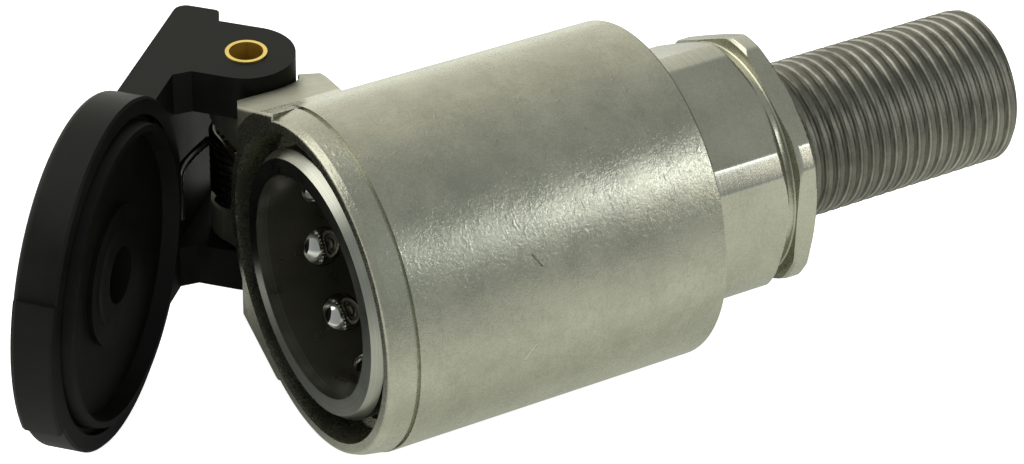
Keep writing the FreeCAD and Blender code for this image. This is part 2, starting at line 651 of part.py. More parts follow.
def make_sleeve_rings():
    """Rings that hold the sleeve's spring and its rear end."""
    turned_ring("front_stop_ring", "stop_ring_station + 0.01", "stop_ring_station + stop_ring_width - 0.01",
                "body_radius - stop_ring_seat + ring_seat_play", "stop_ring_radius", "360 - ring_opening")
    turned_ring("rear_guide_ring", "guide_ring_front", "guide_ring_rear",
                "body_radius + guide_ring_play", "sleeve_bore_radius - ring_seat_play")
    turned_ring("housing_circlip", "circlip_front + circlip_play", "circlip_rear - circlip_play",
                "sleeve_bore_radius + circlip_depth - circlip_height",
                "sleeve_bore_radius + circlip_depth - ring_seat_play", "360 - ring_opening")


def make_seals():
    """O-rings and the backup ring."""
    wire = "probe_ring_wire / 2"
    o_ring("probe_o_ring", "seal_groove_start + probe_ring_play + " + wire,
           "seal_groove_radius - probe_ring_play / 2 - " + wire, wire)
    rear = "seal_groove_end - probe_ring_play"
    turned_ring("backup_ring", rear + " - backup_width", rear,
                "seal_bore_radius + guide_ring_play", "seal_groove_radius - guide_ring_play")
    wire = "body_ring_wire / 2"
    o_ring("body_o_ring", "body_ring_station", "spigot_radius - body_ring_play - " + wire, wire)


def make_poppet():
    """Poppet with a groove for its rubber ring, and its stem."""
    body = new_body("poppet")
    groove_end = "poppet_seal_start + poppet_seal_width"
    turn(body, "poppet_turned", [
        ("poppet_front", "0"),
        ("poppet_front", "poppet_nose_radius - poppet_nose_chamfer"),
        ("poppet_front + poppet_nose_chamfer", "poppet_nose_radius"),
        ("poppet_cone_start", "poppet_nose_radius"),
        ("poppet_cone_start", cone_at("poppet_cone_start", "seat_gap")),
        ("poppet_seal_start", cone_at("poppet_seal_start", "seat_gap")),
        ("poppet_seal_start", "poppet_seal_radius"),
        (groove_end, "poppet_seal_radius"),
        (groove_end, cone_at(groove_end, "seat_gap")),
        ("throat_end + poppet_radius + seat_gap - throat_radius", "poppet_radius"),
        ("poppet_head_end", "poppet_radius"),
        ("poppet_head_end", "stem_radius"),
        ("stem_end", "stem_radius"),
        ("stem_end", "0"),
    ])
    seal = new_body("poppet_seal")
    turn(seal, "poppet_seal_moulded", [
        ("poppet_seal_start + 0.01", "poppet_seal_radius + 0.01"),
        ("poppet_seal_start + 0.01", cone_at("poppet_seal_start", "seal_seat_gap")),
        (groove_end + " - 0.01", cone_at(groove_end, "seal_seat_gap") + " - 0.02"),
        (groove_end + " - 0.01", "poppet_seal_radius + 0.01"),
    ])


def cone_at(station, gap):
    """Give the radius of a cone that keeps a gap to the valve seat."""
    return "(throat_radius + (%s) - throat_end - %s)" % (station, gap)


def make_poppet_guide():
    """Spider that guides the poppet's stem and carries its spring."""
    body = new_body("poppet_guide")
    front = "(guide_shoulder - guide_width)"
    outside = "(guide_bore_radius - guide_seat_play)"
    turn(body, "guide_rim", [
        (front, outside + " - guide_ring_wall"),
        (front, outside),
        ("guide_shoulder", outside),
        ("guide_shoulder", outside + " - guide_ring_wall"),
    ])
    for index in range(3):
        arm = body.newObject("PartDesign::AdditiveBox", "guide_arm_%d" % (index + 1))
        arm.Placement.Rotation = FreeCAD.Rotation(FreeCAD.Vector(1, 0, 0), 120 * index + 1)
        bind(arm, "Length", "guide_width")
        bind(arm, "Width", outside + " - guide_ring_wall / 2")
        bind(arm, "Height", "guide_arm_width")
        bind(arm, "Placement.Base.x", front)
        bind(arm, "Placement.Base.y", "guide_arm_width / 2 * sin(%d)" % (120 * index + 1))
        bind(arm, "Placement.Base.z", "-guide_arm_width / 2 * cos(%d)" % (120 * index + 1))
    rear = "guide_shoulder + guide_hub_extra"
    hub = [(front, "0"), (front, "guide_hub_radius"), (rear, "guide_hub_radius"), (rear, "0")]
    turn(body, "guide_hub", hub)
    hole_radius = "stem_radius + stem_play"
    past = rear + " + guide_width"
    before = front + " - guide_width"
    hole = [(before, "0"), (before, hole_radius), (past, hole_radius), (past, "0")]
    turn(body, "guide_hole", hole, "Groove")


def make_hex_adapter():
    """Hexagon end piece with spigot, flange, sealing shoulder and pipe thread."""
    body = new_body("hex_adapter")
    spigot = "(spigot_radius - spigot_play)"
    groove_bottom = spigot + " - body_ring_wire - body_ring_play"
    thread = "thread_diameter / 2"
    turn(body, "adapter_turned", [
        ("chamber_end + spigot_gap", "guide_bore_radius"),
        ("chamber_end + spigot_gap", spigot),
        ("body_ring_station - body_groove_width / 2", spigot),
        ("body_ring_station - body_groove_width / 2", groove_bottom),
        ("body_ring_station + body_groove_width / 2", groove_bottom),
        ("body_ring_station + body_groove_width / 2", spigot),
        ("body_rear", spigot),
        ("body_rear", "flange_radius"),
        ("flange_end", "flange_radius"),
        ("flange_end", "hex_turned_radius"),
        ("hex_end", "hex_turned_radius"),
        ("hex_end + hex_chamfer", "hex_across_flats / 2 + 0.1"),
        ("hex_end + hex_chamfer", "neck_radius"),
        ("neck_end", "neck_radius"),
        ("neck_end", "hex_turned_radius - thin_hex_chamfer"),
        ("neck_end + thin_hex_chamfer", "hex_turned_radius"),
        ("thin_hex_end - shoulder_chamfer", "hex_turned_radius"),
        ("thin_hex_end", "shoulder_radius"),
        ("thin_hex_end", "relief_radius"),
        ("relief_end", "relief_radius"),
        ("relief_end + thread_chamfer", thread),
        ("overall_length - thread_chamfer", thread),
        ("overall_length", thread + " - thread_chamfer"),
        ("overall_length", "flow_bore_radius"),
        ("flow_taper_end", "flow_bore_radius"),
        ("flow_taper_start", "flow_step_radius"),
        ("guide_shoulder", "flow_step_radius"),
        ("guide_shoulder", "guide_bore_radius"),
    ])
    for index in range(6):
        mill_flat(body, index)
    return body


def mill_flat(body, index):
    """Mill one flat of both hexagons."""
    angle = "(hex_corner_angle + 30 + %d)" % (60 * index)
    cutter = body.newObject("PartDesign::SubtractiveBox", "flat_%d" % (index + 1))
    cutter.Placement.Rotation = FreeCAD.Rotation(FreeCAD.Vector(1, 0, 0), 1)
    half = "hex_across_flats"
    bind(cutter, "Length", "thin_hex_end - flange_end")
    bind(cutter, "Width", "hex_across_flats / 2")
    bind(cutter, "Height", "2 * " + half)
    bind(cutter, "Placement.Base.x", "flange_end")
    bind(cutter, "Placement.Base.y", "hex_across_flats / 2 * cos%s + %s * sin%s" % (angle, half, angle))
    bind(cutter, "Placement.Base.z", "hex_across_flats / 2 * sin%s - %s * cos%s" % (angle, half, angle))
    bind(cutter, "Placement.Rotation.Angle", angle)


def make_cap():
    """Dust cap with its arms, drawn closed and then swung open about the hinge."""
    body = new_body("cap")
    turn(body, "cap_disc", [
        ("cap_back", "0"),
        ("cap_back", "cap_radius"),
        ("cap_face - cap_base_depth", "cap_radius"),
        ("cap_face", "cap_radius - cap_base_depth"),
        ("cap_face", "cap_rim_inner"),
        ("cap_face - cap_floor", "cap_rim_inner"),
        ("cap_face - cap_floor", "ridge_outer"),
        ("cap_face + ridge_height", "ridge_top_outer"),
        ("cap_face + ridge_height", "ridge_top_inner"),
        ("cap_face - cap_floor", "ridge_inner"),
        ("cap_face - cap_floor", "cap_base_radius"),
        ("cap_face - cap_base_depth", "cap_base_radius"),
        ("cap_face - cap_base_depth", "cap_boss_radius"),
        ("cap_face", "cap_boss_radius - cap_base_depth"),
        ("cap_face", "cap_hole_radius"),
        ("cap_face - cap_hole_depth", "cap_hole_radius"),
        ("cap_face - cap_hole_depth", "0"),
    ])
    round_edges(body, "back_round", "cap_edge_round", lambda edge: turned_edge(edge, "cap_back", "cap_radius"))
    thumb = turn(body, "thumb_edge", [
        ("cap_back + cap_edge_round / 2", "-cap_rim_inner"),
        ("cap_back + cap_edge_round / 2", "-thumb_radius + cap_base_depth"),
        ("cap_back + cap_edge_round", "-thumb_radius"),
        ("cap_face - cap_base_depth", "-thumb_radius"),
        ("cap_face", "-thumb_radius + cap_base_depth"),
        ("cap_face", "-cap_rim_inner"),
    ], angle="thumb_angle")
    thumb.Midplane = True
    web = [
        ("cap_back", "web_start"),
        ("cap_back", "arm_end"),
        ("cap_face - web_front", "arm_end"),
        ("cap_face - web_front", "web_start"),
    ]
    extrude(body, "web", outline(body, "web_outline", web), "2 * (ear_outer + arm_gap)")
    for side in (1, -1):
        add_arm(body, side)
    round_edges(body, "arm_backs", "arm_back_round", lambda edge: stands_at(edge, "cap_back", "arm_end"))
    round_edges(body, "arm_fronts", "arm_front_round", lambda edge: stands_at(edge, "cap_face", "arm_end"))
    pin_hole = circle(body, "tube_circle", "hinge_x", "hinge_y", "tube_diameter / 2")
    extrude(body, "tube_hole", pin_hole, "4 * ear_outer", "Pocket")
    doc.recompute()
    pin = FreeCAD.Vector(number("hinge_x"), number("hinge_y"), 0)
    swing = FreeCAD.Rotation(FreeCAD.Vector(0, 0, 1), -number("opening_angle"))
    body.Placement = FreeCAD.Placement(FreeCAD.Vector(0, 0, 0), swing, pin)
    return body


def add_arm(body, side):
    """Add one arm with its knuckle, outside the ear."""
    name = "arm_above" if side > 0 else "arm_below"
    height = "ear_outer + arm_gap" if side > 0 else "-ear_outer - arm_gap - arm_thickness"
    points = [
        ("cap_back", "arm_start"),
        ("cap_back", "arm_end"),
        ("cap_face", "arm_end"),
        ("cap_face + arm_step_x", "knuckle_high"),
        ("hinge_x", "knuckle_high"),
        ("hinge_x", "knuckle_low"),
        ("cap_face + arm_step_x + arm_notch_slope", "knuckle_low"),
        ("cap_face - arm_plate", "knuckle_low - arm_notch"),
        ("cap_face - arm_plate", "arm_start"),
    ]
    sketch = outline(body, name + "_outline", points, height=height)
    extrude(body, name, sketch, "arm_thickness", side="One side")
    knuckle = circle(body, name + "_circle", "hinge_x", "hinge_y", "knuckle_radius", height=height)
    extrude(body, name + "_knuckle", knuckle, "arm_thickness", side="One side")


def make_hinge_tube():
    """Brass tube that is pressed into the arms and turns in the ears."""
    body = new_body("hinge_tube")
    half = "(ear_outer + arm_gap + arm_thickness + tube_proud)"
    solid = circle(body, "tube_outside", "hinge_x", "hinge_y", "tube_diameter / 2")
    extrude(body, "tube_rod", solid, "2 * " + half)
    hole = circle(body, "tube_inside", "hinge_x", "hinge_y", "tube_diameter / 2 - tube_wall")
    extrude(body, "tube_bore", hole, "4 * ear_outer", "Pocket")


def make_cap_spring():
    """Torsion spring round the hinge tube, with its fixed leg on the lug."""
    wire = number("cap_spring_wire") / 2
    mean = number("cap_spring_radius")
    half = number("cap_spring_half") - wire
    pin = FreeCAD.Vector(number("hinge_x"), number("hinge_y"), 0)
    turns = number("cap_spring_turns")
    shape = coil(2 * half, turns, mean, wire)
    shape.rotate(FreeCAD.Vector(0, 0, 0), FreeCAD.Vector(0, 0, 1), 180)
    shape.translate(pin - FreeCAD.Vector(0, 0, half))
    leg_y = number("slot_floor + leg_gap") + wire
    leg_top = pin + FreeCAD.Vector(-mean, 0, half)
    fixed_leg = Part.makeCylinder(wire, leg_top.y - leg_y, leg_top, FreeCAD.Vector(0, -1, 0))
    spring = doc.addObject("Part::Feature", "cap_spring")
    spring.Label = "cap_spring"
    spring.Shape = shape.fuse(fixed_leg)
    parts.append(spring)
    return spring


def check_and_write():
    """Check every object and every sub-part's solid, then write the STEP files."""
    doc.recompute()
    for item in doc.Objects:
        if "Invalid" in item.State or "Error" in item.State:
            raise RuntimeError("%s failed: %s" % (item.Name, item.State))
    for part in parts:
        if part.Shape.isNull() or not part.Shape.isValid() or not part.Shape.Solids:
            raise RuntimeError("%s has no valid solid" % part.Label)
    os.makedirs("parts", exist_ok=True)
    for part in parts:
        part.Shape.exportStep("parts/%s.step" % part.Label)
        print("%-18s %3d solids %10.1f mm3" % (part.Label, len(part.Shape.Solids), part.Shape.Volume))


make_housing()
make_socket_body()
make_balls()
make_sleeve_rings()
make_seals()
make_poppet()
make_poppet_guide()
make_hex_adapter()
make_cap()
make_hinge_tube()
make_cap_spring()
compression_spring("sleeve_spring", "stop_ring_station + stop_ring_width", "guide_ring_front",
                   "sleeve_spring_turns", "sleeve_spring_radius", "sleeve_spring_wire")
compression_spring("poppet_spring", "poppet_head_end", "guide_shoulder - guide_width",
                   "poppet_spring_turns", "poppet_spring_radius", "poppet_spring_wire")
check_and_write()
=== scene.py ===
"""Looks of a hydraulic quick coupler: finishes, thread, springs, light and camera.

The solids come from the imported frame. What is built here replaces a solid whose real surface
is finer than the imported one: the pipe thread with its hexagons, the wire springs and the
polished balls. Lengths are in metres and stations along the coupler's axis count from the mouth.
"""

import json
import logging
import math
from dataclasses import dataclass, field
from enum import Enum
from typing import Callable, Iterable, Sequence

import bpy
from mathutils import Matrix, Vector

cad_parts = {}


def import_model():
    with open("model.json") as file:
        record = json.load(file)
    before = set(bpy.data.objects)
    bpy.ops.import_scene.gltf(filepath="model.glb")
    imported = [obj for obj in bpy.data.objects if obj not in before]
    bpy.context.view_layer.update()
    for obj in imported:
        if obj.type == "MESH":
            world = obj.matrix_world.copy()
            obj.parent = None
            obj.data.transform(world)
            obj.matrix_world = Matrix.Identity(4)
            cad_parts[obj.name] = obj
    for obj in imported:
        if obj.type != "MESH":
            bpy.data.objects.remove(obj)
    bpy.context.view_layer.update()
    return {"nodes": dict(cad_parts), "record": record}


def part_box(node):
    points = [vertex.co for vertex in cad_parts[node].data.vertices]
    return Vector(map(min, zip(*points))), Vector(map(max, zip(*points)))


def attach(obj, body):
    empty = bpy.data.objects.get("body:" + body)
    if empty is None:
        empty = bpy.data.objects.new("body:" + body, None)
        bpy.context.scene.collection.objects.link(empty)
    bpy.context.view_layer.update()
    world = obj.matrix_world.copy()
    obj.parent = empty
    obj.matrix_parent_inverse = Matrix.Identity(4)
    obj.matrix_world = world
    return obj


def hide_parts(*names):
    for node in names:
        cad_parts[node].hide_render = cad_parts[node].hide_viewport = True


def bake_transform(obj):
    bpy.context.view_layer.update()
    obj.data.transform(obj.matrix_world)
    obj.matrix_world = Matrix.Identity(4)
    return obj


LOG = logging.getLogger("quick_coupler")
MM = 0.001
HINGE = Vector((6.5, 29.2, 0.0)) * MM
CAP_SWING = math.radians(45.2)


class Body(Enum):
    """Rigid bodies of the coupler, by their names in the frame."""

    COUPLER = "coupler_body"
    SLEEVE = "sleeve"
    CAP = "dust_cap"
    VALVE = "valve"


class Slot(Enum):
    """Material slots of the record."""

    SLEEVE = "zinc_sleeve"
    HEXAGON = "zinc_hex"
    TURNED = "turned_steel"
    SPRING = "spring_steel"
    BALL = "ball_steel"
    BRASS = "polished_brass"
    PLASTIC = "black_plastic"
    RUBBER = "black_rubber"
    PTFE = "white_ptfe"


class Wire:
    """A value in a shader: sums and products of wires add the Math nodes they need."""

    def __init__(self, graph: "Graph", socket: bpy.types.NodeSocket) -> None:
        """Wrap one output socket.

        Args:
            graph: the graph that the socket belongs to.
            socket: the output socket.
        """
        self.graph = graph
        self.socket = socket

    def _math(self, operation: str, *terms: object) -> "Wire":
        """Add one Math node.

        Args:
            operation: the node's operation.
            terms: its inputs, wires or numbers.

        Returns:
            The node's value.
        """
        return self.graph.node("ShaderNodeMath", {"operation": operation}, dict(enumerate(terms)))

    def __add__(self, other: object) -> "Wire":
        """Give self + other."""
        return self._math("ADD", self, other)

    def __sub__(self, other: object) -> "Wire":
        """Give self - other."""
        return self._math("SUBTRACT", self, other)

    def __rsub__(self, other: object) -> "Wire":
        """Give other - self."""
        return self._math("SUBTRACT", other, self)

    def __mul__(self, other: object) -> "Wire":
        """Give self * other."""
        return self._math("MULTIPLY", self, other)

    def above(self, limit: float, blur: float) -> "Wire":
        """Give 1 where the value is over a limit, 0 below it.

        Args:
            limit: the limit.
            blur: half the width of the soft step.

        Returns:
            The mask.
        """
        settings = {"interpolation_type": "SMOOTHSTEP"}
        sockets = {"Value": self, "From Min": limit - blur, "From Max": limit + blur}
        return self.graph.node("ShaderNodeMapRange", settings, sockets)

    def least(self, other: object) -> "Wire":
        """Give the smaller of two values."""
        return self._math("MINIMUM", self, other)

    def arctan2(self, other: object) -> "Wire":
        """Give the angle whose tangent is self over other."""
        return self._math("ARCTAN2", self, other)

    def most(self, other: object) -> "Wire":
        """Give the larger of two values."""
        return self._math("MAXIMUM", self, other)


class Graph:
    """The node tree of one material or world."""

    def __init__(self, owner: bpy.types.ID) -> None:
        """Empty the owner's node tree.

        Args:
            owner: a material or a world.
        """
        owner.use_nodes = True
        self.tree = owner.node_tree
        self.tree.nodes.clear()

    def node(self, kind: str, settings: dict, sockets: dict, output: object = 0) -> Wire:
        """Add a node.

        Args:
            kind: the node's type.
            settings: attributes to set first.
            sockets: input sockets by name or number, with the wires or values they take.
            output: name or number of the output to give back.

        Returns:
            The chosen output.
        """
        made = self.tree.nodes.new(kind)
        for name, value in settings.items():
            setattr(made, name, value)
        for name, value in sockets.items():
            if isinstance(value, Wire):
                self.tree.links.new(value.socket, made.inputs[name])
            else:
                made.inputs[name].default_value = value
        if not made.outputs:
            return Wire(self, None)
        return Wire(self, made.outputs[output])

    def mix(self, factor: object, low: object, high: object) -> Wire:
        """Mix two colours.

        Args:
            factor: how much of the second one.
            low: the colour at factor 0.
            high: the colour at factor 1.

        Returns:
            The mixed colour.
        """
        settings = {"data_type": "RGBA", "clamp_factor": True}
        colours = [value if isinstance(value, Wire) else (*value, 1.0) for value in (low, high)]
        return self.node("ShaderNodeMix", settings, {0: factor, 6: colours[0], 7: colours[1]}, 2)

    def place(self) -> Wire:
        """Give the point on the object, in metres in the coupler's frame."""
        return self.node("ShaderNodeTexCoord", {}, {}, "Object")

    def split(self, vector: Wire) -> tuple[Wire, Wire, Wire]:
        """Give the three parts of a vector."""
        made = self.node("ShaderNodeSeparateXYZ", {}, {0: vector}).socket.node
        return tuple(Wire(self, made.outputs[index]) for index in range(3))

    def join(self, across: object, along: object, up: object) -> Wire:
        """Make a vector of three values."""
        return self.node("ShaderNodeCombineXYZ", {}, {0: across, 1: along, 2: up})

    def length(self, vector: Wire) -> Wire:
        """Give the length of a vector."""
        return self.node("ShaderNodeVectorMath", {"operation": "LENGTH"}, {0: vector}, 1)

    def noise(
        self, where: Wire, size: float, detail: float = 2.0, rough: float = 0.5, bend: float = 0.0
    ) -> Wire:
        """Add noise.

        Args:
            where: the point.
            size: size of its blotches, in metres.
            detail: number of finer layers.
            rough: weight of the finer layers.
            bend: how much the blotches are bent.

        Returns:
            A value round 0.5.
        """
        sockets = {
            "Vector": where,
            "Scale": 1.0 / size,
            "Detail": detail,
            "Roughness": rough,
            "Distortion": bend,
        }
        return self.node("ShaderNodeTexNoise", {}, sockets)

    def lines(self, walk: Wire, detail: float) -> Wire:
        """Add noise that changes along one length only.

        Args:
            walk: the length, in widths of a line.
            detail: number of finer layers.

        Returns:
            A value round 0.5.
        """
        sockets = {"W": walk, "Scale": 1.0, "Detail": detail}
        return self.node("ShaderNodeTexNoise", {"noise_dimensions": "1D"}, sockets)

    def cells(self, where: Wire, size: float) -> Wire:
        """Give the distance to the nearest of scattered points, in cells of a size in metres."""
        return self.node("ShaderNodeTexVoronoi", {}, {"Vector": where, "Scale": 1.0 / size})

    def bump(self, height: Wire, depth: float) -> Wire:
        """Turn a height into a normal.

        Args:
            height: the height, from 0 to 1.
            depth: what a height of 1 is, in metres.

        Returns:
            The normal.
        """
        sockets = {"Height": height, "Distance": depth, "Strength": 1.0}
        return self.node("ShaderNodeBump", {}, sockets)

    def rays(self, kind: str) -> Wire:
        """Give 1 for rays of one kind, such as "Is Camera Ray", and 0 for the others."""
        return self.node("ShaderNodeLightPath", {}, {}, kind)

    def surface(self, colour: Wire, rough: Wire, normal: Wire, constants: dict) -> None:
        """End the material with one Principled shader.

        Args:
            colour: its base colour.
            rough: its roughness.
            normal: its normal.
            constants: sockets that are the same all over.
        """
        sockets = {"Base Color": colour, "Roughness": rough, "Normal": normal, **constants}
        shader = self.node("ShaderNodeBsdfPrincipled", {}, sockets)
        self.node("ShaderNodeOutputMaterial", {}, {"Surface": shader})


def new_graph(name: str) -> tuple[bpy.types.Material, Graph]:
    """Start a material.

    Args:
        name: its name.

    Returns:
        The material and its empty graph.
    """
    material = bpy.data.materials.new(name)
    return material, Graph(material)


@dataclass(frozen=True)
class Scratch:
    """One scratch on the sleeve, between two points of station and arc from the -Y side."""

    start: tuple[float, float]
    end: tuple[float, float]
    width: float
    depth: float

    def mask(self, graph: Graph, along: Wire, arc: Wire) -> Wire:
        """Give 1 in the scratch and 0 beside it.

        Args:
            graph: the material's graph.
            along: station of the point.
            arc: its arc.

        Returns:
            The mask.
        """
        run = (self.end[0] - self.start[0], self.end[1] - self.start[1])
        past, over = along - self.start[0], arc - self.start[1]
        share = (past * run[0] + over * run[1]) * (1.0 / (run[0] ** 2 + run[1] ** 2))
        share = share.least(1.0).most(0.0)
        gap = graph.length(graph.join(past - share * run[0], over - share * run[1], 0.0))
        return 1.0 - gap.above(self.width / 2, self.width / 3)


@dataclass(frozen=True)
class ZincPlate:
    """Satin zinc plating: crinkled grain, soft stains, short nicks and turning marks.

    The turning marks lie outside the radius turned_from, and crest is the radius of a thread's
    ridges, which get a painted highlight while its roots get painted shade. A radius of one metre
    leaves either out. The hinge lug, past arc_radius, is duller.
    """

    name: str
    light: tuple[float, float, float] = (0.468, 0.463, 0.366)
    dark: tuple[float, float, float] = (0.365, 0.363, 0.29)
    stain: tuple[float, float, float] = (0.19, 0.19, 0.155)
    bright: tuple[float, float, float] = (0.78, 0.78, 0.68)
    roughness: float = 0.262
    mottle_size: float = 5.0 * MM
    stain_share: float = 0.3
    crinkle_size: float = 0.5 * MM
    crinkle_depth: float = 0.075 * MM
    nick_depth: float = 0.02 * MM
    arc_radius: float = 22.25 * MM
    lug_dullness: float = 0.22
    turned_from: float = 1.0
    crest: float = 1.0
    mark_pitch: float = 0.3 * MM
    scratches: tuple[Scratch, ...] = ()

    def build(self) -> bpy.types.Material:
        """Build the material."""
        material, graph = new_graph(self.name)
        place = graph.place()
        along, side, up = graph.split(place)
        radius = graph.length(graph.join(0.0, side, up))
        arc = (up * -1.0).arctan2(side * -1.0) * self.arc_radius
        mottle = graph.noise(place, self.mottle_size, 4.0, 0.62)
        cloud = graph.noise(place, self.mottle_size * 3.1, 2.0)
        crinkle = graph.noise(place, self.crinkle_size, 3.0, 0.6, 1.3)
        grain = graph.noise(place, 0.24 * MM, 2.0, 0.6, 0.8)
        shade = (mottle - 0.5) * 2.3 + (cloud - 0.5) * 1.3 + (crinkle - 0.5) * 1.0
        shade = shade + (grain - 0.5) * 1.3 + 0.5
        colour = graph.mix(shade, self.dark, self.light)
        stains = self._stains(graph, along, arc)
        colour = graph.mix(stains * self.stain_share, colour, self.stain)
        rough = (mottle - 0.5) * 0.14 + (crinkle - 0.5) * 0.16 + stains * 0.08 + self.roughness
        lug = radius.above(self.arc_radius + 0.3 * MM, 0.1 * MM)
        rough = rough + lug * self.lug_dullness
        height = crinkle * 0.5 + mottle * 0.3
        if self.nick_depth > 0.0:
            nicks = self._nicks(graph, place, along, arc)
            height = height + nicks * (self.nick_depth / self.crinkle_depth)
        for scratch in self.scratches:
            mark = scratch.mask(graph, along, arc)
            height = height + mark * (scratch.depth / self.crinkle_depth)
            tint = self.stain if scratch.depth < 0.0 else self.bright
            colour = graph.mix(mark * 0.6, colour, tint)
        # painted highlight on a thread's ridges and painted shade in its roots
        if self.crest < 1.0:
            colour = self._thread_painted_light(graph, radius, mottle, colour)
        if self.turned_from < 1.0:
            marks = graph.lines(along * (1.0 / self.mark_pitch), 3.0)
            turned = radius.above(self.turned_from, 0.02 * MM)
            colour = graph.mix(turned * (marks * 0.9 - 0.3), colour, (0.6, 0.63, 0.62))
            height = height + turned * marks * 0.2
        normal = graph.bump(height, self.crinkle_depth)
        graph.surface(colour, rough, normal, {"Metallic": 0.93})
        return material

    def _thread_painted_light(self, graph: Graph, radius: Wire, mottle: Wire, colour: Wire) -> Wire:
        """Paint a highlight along the thread's ridges and shade in its roots into the colour.

        Args:
            graph: the material's graph.
            radius: distance of the point from the axis.
            mottle: soft noise that breaks the painted highlight.
            colour: the colour so far.

        Returns:
            The new colour.
        """
        inner = radius.above(self.crest - 0.3 * MM, 0.05 * MM)
        outer = radius.above(self.crest - 0.12 * MM, 0.05 * MM)
        # painted highlight: a bright band just under the crest of the ridges
        edge = inner * (1.0 - outer)
        colour = graph.mix(edge * (mottle * 1.4 - 0.2), colour, (0.62, 0.62, 0.55))
        # painted shade: the thread's roots darkened
        root = 1.0 - radius.above(self.crest - 0.42 * MM, 0.12 * MM)
        return graph.mix(root * 0.5, colour, (0.07, 0.07, 0.055))

    def _stains(self, graph: Graph, along: Wire, arc: Wire) -> Wire:
        """Mask of the soft dark streaks.

        Args:
            graph: the material's graph.
            along: station of the point.
            arc: its arc.

        Returns:
            The mask.
        """
        spread = graph.join(along * 1.8, arc, 0.0)
        fine = graph.noise(spread, 1.1 * MM, 4.0, 0.7, 0.8).above(0.6, 0.2)
        group = graph.noise(spread, 9.0 * MM, 2.0).above(0.48, 0.2)
        return fine * group

    def _nicks(self, graph: Graph, place: Wire, along: Wire, arc: Wire) -> Wire:
        """Mask of the short nicks, most of them along the sleeve's round.

        Args:
            graph: the material's graph.
            place: the point on the object.
            along: its station.
            arc: its arc.

        Returns:
            The mask.
        """
        wander = (graph.noise(place, 1.4 * MM, 1.0) - 0.5) * (1.2 * MM)
        spread = graph.join(along + wander, arc, 0.0)
        layers = (
            (-0.5, 3.4 * MM, 5.0),
            (0.35, 4.6 * MM, 4.0),
            (1.1, 4.0 * MM, 4.5),
            (-1.3, 5.2 * MM, 5.0),
        )
        marks: Wire | None = None
        for tilt, size, thin in layers:
            sockets = {"Vector": spread, "Rotation": (0.0, 0.0, tilt), "Scale": (thin, 1.0, 1.0)}
            turned = graph.node("ShaderNodeMapping", {}, sockets)
            mark = 1.0 - graph.cells(turned, size).above(0.12, 0.07)
            marks = mark if marks is None else marks.most(mark)
        group = graph.noise(place, 6.0 * MM, 2.0).above(0.47, 0.12)
        return marks * group


@dataclass(frozen=True)
class TurnedSteel:
    """Bare steel with fine turning marks round the coupler's axis."""

    name: str
    light: tuple[float, float, float] = (0.46, 0.465, 0.40)
    dark: tuple[float, float, float] = (0.22, 0.222, 0.19)
    roughness: float = 0.3
    pitch: float = 0.22 * MM
    depth: float = 0.004 * MM
    bore_radius: float = 14.5 * MM
    bore_start: float = 1.7 * MM

    def build(self) -> bpy.types.Material:
        """Build the material."""
        material, graph = new_graph(self.name)
        place = graph.place()
        along, side, up = graph.split(place)
        radius = graph.length(graph.join(0.0, side, up))
        groove = graph.lines((along + radius) * (1.0 / self.pitch), 2.0)
        stain = graph.noise(place, 3.5 * MM, 3.0)
        shade = groove * 0.7 + stain * 0.6 - 0.15
        colour = graph.mix(shade, self.dark, self.light)
        # darker inside the bore, from bore_start inwards
        within = 1.0 - radius.above(self.bore_radius, 0.1 * MM)
        inside = within * along.above(self.bore_start, 0.1 * MM)
        colour = graph.mix(inside * 0.6, colour, (0.22, 0.205, 0.165))
        rough = (stain - 0.5) * 0.2 + self.roughness
        normal = graph.bump(groove, self.depth)
        graph.surface(colour, rough, normal, {"Metallic": 1.0})
        return material


@dataclass(frozen=True)
class PlainMetal:
    """Smooth metal with faint smears: balls, wire or brass."""

    name: str
    colour: tuple[float, float, float]
    roughness: float
    smear: float = 0.1

    def build(self) -> bpy.types.Material:
        """Build the material."""
        material, graph = new_graph(self.name)
        place = graph.place()
        smear = graph.noise(place, 1.8 * MM, 3.0)
        darker = tuple(part * 0.7 for part in self.colour)
        colour = graph.mix((smear - 0.5) * 1.2 + 0.6, darker, self.colour)
        rough = (smear - 0.5) * self.smear + self.roughness
        height = graph.noise(place, 0.25 * MM, 2.0)
        normal = graph.bump(height, 0.002 * MM)
        graph.surface(colour, rough, normal, {"Metallic": 1.0})
        return material


@dataclass(frozen=True)
class Moulded:
    """Moulded plastic or rubber with a fine grain and faint rubbed marks."""

    name: str
    colour: tuple[float, float, float]
    worn: tuple[float, float, float]
    roughness: float
    gloss: float = 0.15
    grain_size: float = 0.22 * MM
    grain_depth: float = 0.012 * MM

    def build(self) -> bpy.types.Material:
        """Build the material."""
        material, graph = new_graph(self.name)
        place = graph.place()
        cloud = graph.noise(place, 7.0 * MM, 4.0, 0.6)
        dust = graph.noise(place, 0.35 * MM, 2.0).above(0.68, 0.06)
        colour = graph.mix((cloud - 0.5) * 1.6 + 0.35 + dust * 0.25, self.colour, self.worn)
        grain = graph.noise(place, self.grain_size, 3.0, 0.6)
        rough = (cloud - 0.5) * 0.22 + self.roughness
        normal = graph.bump(grain, self.grain_depth)
        graph.surface(colour, rough, normal, {"Specular IOR Level": self.gloss})
        return material


def mesh_piece(
    name: str, points: Iterable, faces: Iterable, smooth_angle: float = 30.0
) -> bpy.types.Object:
    """Make a mesh object with smooth faces and creases where faces meet sharply.

    Args:
        name: the object's name.
        points: corners, in metres.
        faces: corners of each face, by number.
        smooth_angle: angle in degrees past which an edge stays sharp.

    Returns:
        The object.
    """
    mesh = bpy.data.meshes.new(name)
    mesh.from_pydata(list(points), [], list(faces))
    mesh.validate()
    piece = bpy.data.objects.new(name, mesh)
    bpy.context.scene.collection.objects.link(piece)
    smooth(piece, smooth_angle)
    return piece


